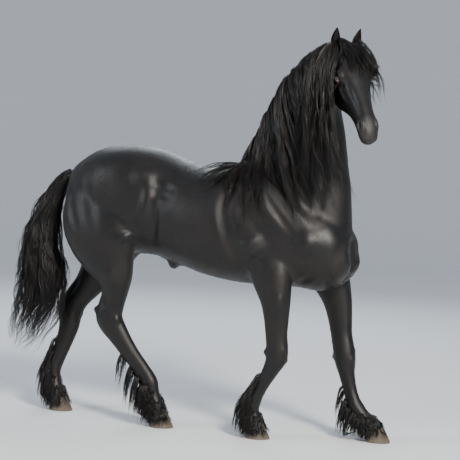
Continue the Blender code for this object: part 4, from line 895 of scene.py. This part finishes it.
def strand_mesh(name, lines, faces, widths, places, tones, sides=3, flat=0.6, blunt=3.0):
    """One mesh of closed tapered strands.  places are their roots on the unwrap, tones their own shade."""
    count, rings = lines.shape[:2]
    along = unit(np.gradient(lines, axis=1))
    across = unit(np.cross(along, faces))
    upwards = np.cross(across, along)
    share = np.linspace(0, 1, rings)
    full = (0.6 + 0.4 * np.sin(np.pi * np.minimum(1, share * 1.5))) * (1 - share**blunt) + 0.05
    turn = 2 * np.pi * np.arange(sides) / sides + np.pi / 2
    size = widths[:, None, None, None] * full[None, :, None, None] / 2
    ring = across[:, :, None] * np.cos(turn)[None, None, :, None]
    ring = ring + upwards[:, :, None] * np.sin(turn)[None, None, :, None] * flat
    points = (lines[:, :, None] + ring * size).reshape(-1, 3)
    base = (np.arange(count) * rings * sides)[:, None, None]
    i, j = np.meshgrid(np.arange(rings - 1), np.arange(sides), indexing="ij")
    k = (j + 1) % sides
    quad = [i * sides + j, i * sides + k, (i + 1) * sides + k, (i + 1) * sides + j]
    quad = np.stack(quad, -1).reshape(-1, 4)
    quads = (base + quad[None]).reshape(-1)
    caps = np.stack([np.arange(sides)[::-1], (rings - 1) * sides + np.arange(sides)])
    ends = (base + caps[None]).reshape(-1)
    loops = np.concatenate([quads, ends])
    quad_count, cap_count = count * len(quad), count * 2
    data = bpy.data.meshes.new(name)
    data.vertices.add(len(points))
    data.vertices.foreach_set("co", points.ravel())
    data.loops.add(len(loops))
    data.loops.foreach_set("vertex_index", loops.astype(np.int32))
    data.polygons.add(quad_count + cap_count)
    starts = np.concatenate([np.arange(quad_count) * 4, quad_count * 4 + np.arange(cap_count) * sides])
    data.polygons.foreach_set("loop_start", starts.astype(np.int32))
    data.polygons.foreach_set("use_smooth", np.ones(quad_count + cap_count, bool))
    data.update(calc_edges=True)
    around = np.stack([j, j + 1, j + 1, j], -1).reshape(-1, 4) / sides
    lengthwise = np.stack([i, i, i + 1, i + 1], -1).reshape(-1, 4) / (rings - 1)
    patch = np.stack((around, lengthwise), -1).reshape(-1, 2) * PATCH
    flat_map = (places[:, None] + patch[None]).reshape(-1, 2)
    cap_map = np.repeat(places[:, None] + np.array([[0, 0], [0, PATCH]])[None], sides, axis=1).reshape(-1, 2)
    data.uv_layers.new(name="OFBake").data.foreach_set("uv", np.concatenate([flat_map, cap_map]).ravel())
    tone = data.attributes.new("tone", "FLOAT", "POINT")
    tone.data.foreach_set("value", np.repeat(tones, rings * sides).astype(np.float32))
    data.validate()
    made = bpy.data.objects.new(name, data)
    bpy.context.scene.collection.objects.link(made)
    return made


def draped(start, normal, heading, length, steps, clear, body, stiffness, root=0.008, drift=0.0):
    """A path that leaves the skin, turns over and hangs down, and stands off the body more and more."""
    step = length / steps
    pull = Vector((drift, 0, -1))
    point, direction = Vector(start) + Vector(normal) * min(clear, 0.006), Vector(heading).normalized()
    path, faces = [Vector(start) - Vector(normal) * root, point.copy()], [Vector(normal)] * 2
    for i in range(steps):
        before = point.copy()
        room = 0.004 + max(0, clear - 0.004) * min(1, 1.6 * (i + 1) / steps)
        direction = (direction * stiffness + pull * (1 - stiffness)).normalized()
        point = point + direction * step
        spot, face, _, _ = body.find_nearest(point)
        if (point - spot).dot(face) < room:
            point = spot + face * room
        if point.z < FLOOR_CLEAR:
            point.z = FLOOR_CLEAR
        direction = (point - before).normalized()
        flat = face - direction * face.dot(direction)
        if flat.length < 0.2:
            flat = faces[-1] - direction * faces[-1].dot(direction)
        path.append(point.copy())
        faces.append(flat.normalized())
    return path, faces


def add_lock(growth, draw, path, faces, place, room, waves, **lock):
    """Adds a guide lock's strands to a growth: their lines, their faces, and their roots on the unwrap."""
    lines, outwards = tress(path, faces, draw=draw, waves=waves, **lock)
    growth.append((lines, outwards, draw.uniform(0, 1, (lock["count"], 2)) * room + place))


def finished_hair(name, growth, draw, body, width, pieces, clear=0.003):
    """The strands of one growth as one or more pieces."""
    lines, faces, places = (np.concatenate(rows) for rows in zip(*growth))
    lines = kept_off(lines, body, clear)
    lines[..., 2] = np.maximum(lines[..., 2], STRAND_CLEAR)
    widths = width * draw.uniform(0.65, 1.25, len(lines))
    tones = draw.uniform(0, 1, len(lines))
    made = []
    for k in range(pieces):
        pick = slice(k, None, pieces)
        label = name if pieces == 1 else "%s_%d" % (name, k + 1)
        made.append(strand_mesh(label, lines[pick], faces[pick], widths[pick], places[pick], tones[pick]))
    return made


def mane_objects(body):
    """Hair along the crest that falls over the right side of the neck, in layers that drift forward."""
    draw, growth = np.random.default_rng(11), []
    for i in range(MANE_GUIDES):
        share = float(np.clip((i + draw.uniform(0, 1)) / MANE_GUIDES, 0, 1))
        spot = body.find_nearest(crest_root(share))[0]
        layer = i % 4
        spot += Vector((draw.uniform(-0.012, 0.012), draw.uniform(-0.018, 0.010), 0))
        spot, normal = body.find_nearest(spot)[:2]
        length = float(np.interp(share, *zip(*MANE_LENGTHS))) * draw.uniform(0.78, 1.10)
        heading = normal * (0.30 + 0.16 * layer) + Vector((draw.uniform(-0.35, 0.35), -1, 0.0))
        drift = float(np.interp(share, *zip(*MANE_DRIFT))) + draw.uniform(-0.16, 0.16)
        clear, stiffness = 0.007 + 0.011 * layer, draw.uniform(0.40, 0.60)
        path, faces = draped(spot, normal, heading, length, 12, clear, body, stiffness, drift=drift)
        place = (0.02 + 0.94 * share, 0.02 + 0.24 * layer)
        add_lock(growth, draw, path, faces, place, (0.010, 0.22), length * MANE_WAVES, **MANE_LOCK)
    return finished_hair("mane", growth, draw, body, MANE_STRAND, 3)


def forelock_objects(face):
    """Hair from between the ears that falls over the forehead and the left side of the face."""
    draw, growth = np.random.default_rng(5), []
    axis, brow, left = head_axes()
    for i in range(FORELOCK_GUIDES):
        share = i / (FORELOCK_GUIDES - 1)
        root = head_point(-0.025 + 0.045 * draw.uniform(), 0.02, -0.040 + 0.085 * share)
        spot, normal = face.find_nearest(root)[:2]
        heading = axis * 0.55 + brow * draw.uniform(0.4, 0.9)
        heading += left * (0.15 + 1.5 * share + draw.uniform(-0.2, 0.2))
        length = (0.24 + 0.20 * share) * draw.uniform(0.72, 1.12)
        clear, stiffness = 0.006 + (0.006 + 0.016 * share) * (i % 4), draw.uniform(0.62, 0.76)
        path, faces = draped(spot, normal, heading, length, 9, clear, face, stiffness, 0.006)
        place = (0.02 + 0.93 * share, 0.03)
        add_lock(growth, draw, path, faces, place, (0.02, 0.9), length * FORELOCK_WAVES, **FORELOCK_LOCK)
    return finished_hair("forelock", growth, draw, face, FORELOCK_STRAND, 1, 0.002)


def tail_objects(body):
    """Hair that leaves the dock all round and follows the tail down to its tips."""
    draw, growth = np.random.default_rng(23), []
    frames = limb_frames(TAIL)
    for i in range(TAIL_GUIDES):
        turn = 2 * math.pi * (i * GOLDEN_PART)
        first = (i / TAIL_GUIDES) ** 1.2 * 0.42 * (len(frames) - 1)
        last = min(first + draw.uniform(0.50, 0.72) * len(frames), len(frames) - 1)
        full = draw.uniform(0.35, 0.98)
        path, faces = [], []
        for step in range(9):
            share = step / 8
            inner = 0.25 + (full - 0.25) * min(1, share * 2.2)
            point, out = tail_point(frames, first + (last - first) * share, turn + 0.25 * share, inner)
            path.append(point)
            faces.append(out)
        length = sum((b - a).length for a, b in zip(path, path[1:]))
        place = ((turn / 6.283) % 1 * 0.92 + 0.01, 0.02 + 0.9 * i / TAIL_GUIDES)
        add_lock(growth, draw, path, faces, place, (0.05, 0.05), length * TAIL_WAVES, **TAIL_LOCK)
    return finished_hair("tail_hair", growth, draw, body, TAIL_STRAND, 3)


def feather_objects(leg, under):
    """Long hair from the back and sides of a fetlock, up the cannon and over the hoof."""
    draw, growth = np.random.default_rng(sum(map(ord, leg))), []
    frames = limb_frames(LEGS[leg])
    top = len(frames) - 1
    for rise, count, length, spread, stand in FEATHERS:
        for i in range(count):
            turn = math.radians(spread) * (2 * (i + 0.5) / count - 1) + draw.uniform(-0.08, 0.08)
            place = int(np.clip(top - (rise + draw.uniform(-0.25, 0.25)) * RINGS_BETWEEN, 0, top))
            centre, side, ahead, depth = frames[place][:4]
            out = -ahead * math.cos(turn) + side * math.sin(turn)
            spot, normal = under.find_nearest(centre + out * depth)[:2]
            back = 0.40 + 0.60 * max(0, math.cos(turn))
            heading = out * draw.uniform(0.6, 1.0) * back + Vector((0, 0, -1))
            reach = min(length * draw.uniform(0.78, 1.10), 1.15 * (spot.z - 0.004))
            clear = stand * back * draw.uniform(0.3, 1.15)
            path, faces = draped(spot, normal, heading, reach, 7, clear, under, 0.72, 0.005)
            patch = (0.03 + 0.9 * (turn / 6.283 + 0.5), 0.05 + 0.15 * rise)
            add_lock(growth, draw, path, faces, patch, (0.03, 0.12), reach * FEATHER_WAVES, **FEATHER_LOCK)
    return finished_hair("feather_" + leg, growth, draw, under, FEATHER_STRAND, 1, 0.0015)


def unwrapped(points):
    """Places on an unwrap of the skin: round and along the trunk and neck, the head, and each leg."""
    x, y, z = points.T
    head, leg = near_head(points), z < LEG_TOP
    centres = np.array(list(HOOVES.values()))
    nearest = np.argmin(np.linalg.norm(points[:, None, :2] - centres[None], axis=2), axis=1)
    tile = np.where(head, 1, np.where(leg, 2 + nearest, 0))
    middle_x, middle_y = centres[nearest].T
    around = np.where(leg, np.arctan2(y - middle_y, x - middle_x), np.arctan2(y, z - 1.3))
    along = np.where(leg, z / LEG_TOP, np.where(head, (z - 1.7) / 0.7, (x + 1.2) / 2.0))
    across = (tile + 0.05 + 0.88 * (around / 6.2832 + 0.5)) / 6
    return np.stack([across, 0.02 + 0.95 * np.clip(along, 0, 1)], 1)


def coat_tufts(skin):
    """Short tufts that lie along the coat and break its outline, smallest on the face and feet."""
    draw, data = np.random.default_rng(3), skin.data
    count = len(data.polygons)
    area, centre, normal = np.empty(count), np.empty(count * 3), np.empty(count * 3)
    for name, values in (("area", area), ("center", centre), ("normal", normal)):
        data.polygons.foreach_get(name, values)
    centre, normal = centre.reshape(-1, 3), normal.reshape(-1, 3)
    far, high = head_places(centre)[:2]
    bare = near_head(centre) & ((far > 0.50) | (np.hypot(far - EYE_PLACE[0], high - EYE_PLACE[1]) < 0.03))
    weight = area * np.where(bare, 0, 1) * (1 + 2.0 * (normal[:, 2] < -0.4))
    pick = draw.choice(count, TUFTS, p=weight / weight.sum())
    spots, faces = centre[pick], normal[pick]
    head, leg = near_head(spots)[:, None], (spots[:, 2] < LEG_TOP)[:, None]
    lie = np.where(head, np.array(head_axes()[0]), np.where(leg, (0, 0, -1.0), (-0.75, 0, -0.65)))
    lie = lie + draw.normal(0, 0.12, (TUFTS, 3))
    lie = unit(lie - faces * (lie * faces).sum(1)[:, None])
    on_head, on_leg, elsewhere = TUFT_LENGTHS
    usual = np.where(head, on_head, np.where(leg, on_leg, elsewhere))
    length = draw.uniform(0.7, 1.3, (TUFTS, 1, 1)) * usual[:, None]
    share = np.linspace(0, 1, 4)[None, :, None]
    rise = -0.0012 + 0.0034 * np.sin(share * 2.2)
    lines = spots[:, None] + lie[:, None] * (length * share) + faces[:, None] * rise
    faces = np.repeat(faces[:, None], 4, 1)
    widths = TUFT_WIDTH * draw.uniform(0.7, 1.3, TUFTS)
    return strand_mesh("coat_tufts", lines, faces, widths, unwrapped(spots), draw.uniform(0, 0.8, TUFTS))


# Eyes and hooves.


def eyeball(side):
    """An eyeball with a bulging cornea, and its iris and level pupil as two masks on its points."""
    out, long, high = eye_axes(side)
    mesh = bmesh.new()
    bmesh.ops.create_uvsphere(mesh, u_segments=72, v_segments=48, radius=1)
    frame = Matrix((long, high, out)).transposed()
    made = group_object("eyeball_" + ("left" if side > 0 else "right"), mesh)
    points = points_of(made.data)
    flat = np.hypot(points[:, 0], points[:, 1])
    ahead = points[:, 2] > 0
    bulge = np.where(ahead, CORNEA[1] * np.clip(1 - (flat / CORNEA[0]) ** 2, 0, 1), 0)
    iris = np.clip((IRIS - flat) / 0.05, 0, 1) * ahead
    pupil = np.clip((1 - np.hypot(points[:, 0] / PUPIL[0], points[:, 1] / PUPIL[1])) / 0.25, 0, 1) * ahead
    for name, values in (("iris", iris), ("pupil", pupil)):
        made.data.attributes.new(name, "FLOAT", "POINT").data.foreach_set("value", values.astype(np.float32))
    placed = points * (EYE_RADIUS + bulge - 0.0002)[:, None] @ np.array(frame).T + np.array(eye_point(side))
    set_points(made.data, placed)
    made.data.shade_smooth()
    return made


def hoof_object(leg):
    """A hoof with fine growth rings, tapered to the coronet, and a worn lower rim."""
    x, y = HOOVES[leg]
    spot, normal = Vector((x - 0.022, y, HOOF_HEIGHT * 0.82)), CORONET_NORMAL.normalized()
    sides, rings = 64, []
    for step in range(25):
        share = step / 24
        scale = float(np.interp(share, *zip(*HOOF_TAPER)))
        scale += GROWTH_RINGS[0] * math.sin(share * GROWTH_RINGS[1]) * math.sin(math.pi * share)
        ring = []
        for i in range(sides):
            ahead, across = hoof_outline(2 * math.pi * i / sides, HOOF_LENGTH, HOOF_WIDTH)
            spot_x, spot_y = x - 0.030 * share + ahead * scale, y + across * scale
            height = spot.z - ((spot_x - spot.x) * normal.x + (spot_y - spot.y) * normal.y) / normal.z
            ring.append(Vector((spot_x, spot_y, height * share)))
        rings.append(ring)
    made = group_object("hoof_wall_" + leg, loft(rings))
    made.data.shade_smooth()
    return made


# Materials.


def material(name, **sockets):
    made = bpy.data.materials.new(name)
    made.use_nodes = True
    shader = made.node_tree.nodes["Principled BSDF"]
    for socket, value in sockets.items():
        shader.inputs[socket.replace("_", " ")].default_value = value
    return made, made.node_tree, shader


def node(tree, kind, **settings):
    made = tree.nodes.new(kind)
    for key, value in settings.items():
        if key in made.inputs.keys():
            made.inputs[key].default_value = value
        else:
            setattr(made, key, value)
    return made


def noise(tree, scale, stretch=(1, 1, 1), detail=3.0):
    place = node(tree, "ShaderNodeTexCoord")
    mapping = node(tree, "ShaderNodeMapping")
    mapping.inputs["Scale"].default_value = stretch
    made = node(tree, "ShaderNodeTexNoise", Scale=scale, Detail=detail)
    tree.links.new(place.outputs["Object"], mapping.inputs["Vector"])
    tree.links.new(mapping.outputs["Vector"], made.inputs["Vector"])
    return made.outputs["Fac"]


def ramp(tree, value, *stops):
    made = node(tree, "ShaderNodeValToRGB")
    band = made.color_ramp
    while len(band.elements) < len(stops):
        band.elements.new(0.5)
    for element, (place, colour) in zip(band.elements, stops):
        element.position, element.color = place, (*colour, 1)
    tree.links.new(value, made.inputs["Fac"])
    return made.outputs["Color"]


def mask(tree, name):
    return node(tree, "ShaderNodeAttribute", attribute_name=name).outputs["Fac"]


def mixed(tree, factor, first, second):
    made = node(tree, "ShaderNodeMix", data_type="RGBA")
    slots = [s for s in made.inputs if s.name in ("A", "B") and s.type == "RGBA"]
    for slot, value in zip(slots, (first, second)):
        if isinstance(value, tuple):
            slot.default_value = (*value, 1)
        else:
            tree.links.new(value, slot)
    tree.links.new(factor, made.inputs["Factor"])
    return next(s for s in made.outputs if s.type == "RGBA")


def ranged(tree, value, low, high):
    made = node(tree, "ShaderNodeMapRange")
    made.inputs["To Min"].default_value, made.inputs["To Max"].default_value = low, high
    tree.links.new(value, made.inputs["Value"])
    return made.outputs["Result"]


def bumped(tree, shader, *layers):
    """Chains bumps of (height, strength, distance)."""
    before = None
    for height, strength, distance in layers:
        made = node(tree, "ShaderNodeBump", Strength=strength, Distance=distance)
        tree.links.new(height, made.inputs["Height"])
        if before is not None:
            tree.links.new(before, made.inputs["Normal"])
        before = made.outputs["Normal"]
    tree.links.new(before, shader.inputs["Normal"])


def coat_material():
    made, tree, shader = material("black_coat", Specular_IOR_Level=0.38)
    lie = noise(tree, 70, (1.0, 8.0, 5.0), 4)
    legs = noise(tree, 70, (8.0, 8.0, 1.0), 4)
    blotch = noise(tree, 6, detail=2)
    base = ramp(tree, blotch, (0.35, (0.0020, 0.0017, 0.0017)), (0.70, (0.0060, 0.0038, 0.0026)))
    skin = ramp(tree, noise(tree, 90), (0.3, (0.008, 0.007, 0.0068)), (0.7, (0.020, 0.017, 0.0155)))
    tree.links.new(mixed(tree, mask(tree, "muzzle"), base, skin), shader.inputs["Base Color"])
    coat = ramp(tree, blotch, (0.3, (0.38,) * 3), (0.7, (0.48,) * 3))
    tree.links.new(mixed(tree, mask(tree, "muzzle"), coat, (0.50, 0.50, 0.50)), shader.inputs["Roughness"])
    hair = mixed(tree, mask(tree, "leg"), lie, legs)
    bumped(tree, shader, (hair, 0.55, 0.0018), (noise(tree, 420, detail=2), 0.22, 0.0008))
    return made


def hair_material():
    made, tree, shader = material("black_hair", Roughness=0.40, Specular_IOR_Level=0.40)
    tones = (0.0, (0.0022, 0.0020, 0.0022)), (0.75, (0.0045, 0.0036, 0.0034)), (1.0, (0.016, 0.010, 0.007))
    shade = ramp(tree, mask(tree, "tone"), *tones)
    tree.links.new(shade, shader.inputs["Base Color"])
    return made


def eye_material():
    gloss = {"Roughness": 0.06, "Specular_IOR_Level": 0.6, "Coat_Weight": 1.0, "Coat_Roughness": 0.02}
    made, tree, shader = material("eye", **gloss)
    iris = ramp(tree, noise(tree, 500), (0.3, (0.030, 0.012, 0.005)), (0.7, (0.085, 0.036, 0.014)))
    base = mixed(tree, mask(tree, "iris"), (0.020, 0.012, 0.010), iris)
    base = mixed(tree, mask(tree, "pupil"), base, (0.0015, 0.0015, 0.002))
    tree.links.new(base, shader.inputs["Base Color"])
    return made


def hoof_material():
    made, tree, shader = material("horn", Specular_IOR_Level=0.35)
    level = node(tree, "ShaderNodeSeparateXYZ")
    tree.links.new(node(tree, "ShaderNodeTexCoord").outputs["Object"], level.inputs["Vector"])
    height = ranged(tree, level.outputs["Z"], 0.0, 1.0)
    height.node.inputs["From Max"].default_value = 0.09
    streaks = noise(tree, 40, (7, 7, 1))
    tones = (0.0, (0.20, 0.155, 0.11)), (0.25, (0.12, 0.095, 0.07)), (0.7, (0.045, 0.037, 0.030))
    horn = ramp(tree, height, *tones)
    tree.links.new(mixed(tree, streaks, horn, (0.06, 0.048, 0.036)), shader.inputs["Base Color"])
    tree.links.new(ranged(tree, streaks, 0.55, 0.80), shader.inputs["Roughness"])
    bumped(tree, shader, (noise(tree, 160, (1, 1, 5)), 0.35, 0.001), (streaks, 0.2, 0.002))
    return made


def painted(skin):
    """Masks on the skin: the muzzle, and the legs, where the coat lies downwards."""
    points = points_of(skin.data)
    along, up, out = head_places(points)
    head = near_head(points)
    muzzle = np.clip((along - 0.505) / 0.05, 0, 1) * head
    eye = np.hypot(along - EYE_PLACE[0], up - EYE_PLACE[1])
    muzzle = np.maximum(muzzle, np.clip(1.4 - eye / 0.026, 0, 0.6) * (np.abs(out) > 0.04) * head)
    leg = np.clip((0.95 - points[:, 2]) / 0.15, 0, 1)
    for name, values in (("muzzle", muzzle), ("leg", leg)):
        skin.data.attributes.new(name, "FLOAT", "POINT").data.foreach_set("value", values.astype(np.float32))


# Floor, light and camera.


def floor_object():
    """A pale floor that rises in one wide curve into the backdrop."""
    mesh, rings = bmesh.new(), []
    flat, curve, top = SWEEP
    profile = [(flat * 0.5, 0.0), (flat, 0.0)]
    for angle in np.linspace(0.08, math.pi / 2, 16):
        profile.append((flat + curve * math.sin(angle), curve * (1 - math.cos(angle))))
    profile.append((flat + curve, top))
    for reach, height in profile:
        ring = []
        for i in range(SWEEP_SIDES):
            turn = 2 * math.pi * i / SWEEP_SIDES
            ring.append(mesh.verts.new((reach * math.cos(turn), reach * math.sin(turn), height)))
        rings.append(ring)
    mesh.faces.new(rings[0])
    for low, high in zip(rings, rings[1:]):
        for i in range(SWEEP_SIDES):
            j = (i + 1) % SWEEP_SIDES
            mesh.faces.new((low[i], high[i], high[j], low[j]))
    made = group_object("floor", mesh)
    made.data.shade_smooth()
    made.location = (0, 0, -0.0005)
    paint, _, shader = material("pale_floor", Roughness=0.9, Specular_IOR_Level=0.1)
    shader.inputs["Base Color"].default_value = FLOOR_COLOUR
    made.data.materials.append(paint)


def area_light(name, place, aim, size, power, colour):
    light = bpy.data.lights.new(name, "AREA")
    light.shape, light.size, light.energy, light.color = "DISK", size, power, colour
    made = bpy.data.objects.new(name, light)
    made.location = place
    made.rotation_euler = (Vector(aim) - Vector(place)).to_track_quat("-Z", "Y").to_euler()
    bpy.context.scene.collection.objects.link(made)


def set_world():
    world = bpy.data.worlds.new("studio")
    bpy.context.scene.world = world
    world.use_nodes = True
    back = world.node_tree.nodes["Background"]
    back.inputs["Color"].default_value, back.inputs["Strength"].default_value = WORLD_COLOUR, WORLD_STRENGTH


def camera_object(shift):
    """The photograph's view: from his right and a little ahead, long lens, slightly rolled."""
    turn, dip, roll = math.radians(CAMERA_TURN), CAMERA_DIP, math.radians(CAMERA_ROLL)
    ahead = Vector((-math.sin(turn) * math.cos(dip), math.cos(turn) * math.cos(dip), -math.sin(dip)))
    right = Vector((math.cos(turn), math.sin(turn), 0))
    up = right.cross(ahead)
    across, top = right * math.cos(roll) + up * math.sin(roll), up * math.cos(roll) - right * math.sin(roll)
    data = bpy.data.cameras.new("camera")
    data.sensor_fit, data.sensor_width, data.lens = "HORIZONTAL", 36, CAMERA_LENS
    data.clip_start, data.clip_end = 0.1, 400
    made = bpy.data.objects.new("camera", data)
    made.matrix_world = Matrix((across, top, -ahead)).transposed().to_4x4()
    made.location = Vector(CAMERA_PLACE) + shift
    bpy.context.scene.collection.objects.link(made)
    bpy.context.scene.camera = made


def main():
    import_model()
    low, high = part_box("eye_right")
    shift = (low + high) / 2 - eye_point(-1)

    skin = skin_object()
    painted(skin)
    skin.data.shade_smooth()
    body = body_tree([skin])
    manes, forelocks, tails = mane_objects(body), forelock_objects(body), tail_objects(body)
    tufts = coat_tufts(skin)
    hooves = {leg: hoof_object(leg) for leg in LEGS}
    feathers = {leg: feather_objects(leg, body_tree([skin, hooves[leg]])) for leg in LEGS}
    eyes = {side: eyeball(side) for side in (1, -1)}

    hair, coat, eye, horn = hair_material(), coat_material(), eye_material(), hoof_material()
    ends = ["%s_%s" % (end, side) for end in ("fore", "hind") for side in ("left", "right")]
    flesh = ["torso", "neck", "head", "ear_left", "ear_right", "tail"]
    flesh += ["%s_%sleg_%s" % (level, *leg.split("_")) for level in ("upper", "lower") for leg in ends]
    dressed = [(skin, coat, "coat", flesh)]
    dressed.append((tufts, coat, "coat", ["torso"]))
    dressed += [(piece, hair, "long_hair", ["neck"]) for piece in manes]
    dressed += [(piece, hair, "long_hair", ["head"]) for piece in forelocks]
    dressed += [(piece, hair, "long_hair", ["tail"]) for piece in tails]
    for leg in LEGS:
        lower = "lower_%sleg_%s" % tuple(leg.split("_"))
        dressed += [(piece, hair, "long_hair", [lower]) for piece in feathers[leg]]
        dressed.append((hooves[leg], horn, "hoof", ["hoof_" + leg]))
    dressed += [(eyes[1], eye, "eye", ["eye_left"]), (eyes[-1], eye, "eye", ["eye_right"])]
    for piece, paint, slot, nodes in dressed:
        piece.data.materials.clear()
        piece.data.materials.append(paint)
        piece.data.transform(Matrix.Translation(shift))
        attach(piece, "root")
        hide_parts(*nodes)

    floor_object()
    set_world()
    for light in LIGHTS:
        area_light(*light)
    camera_object(shift)


main()
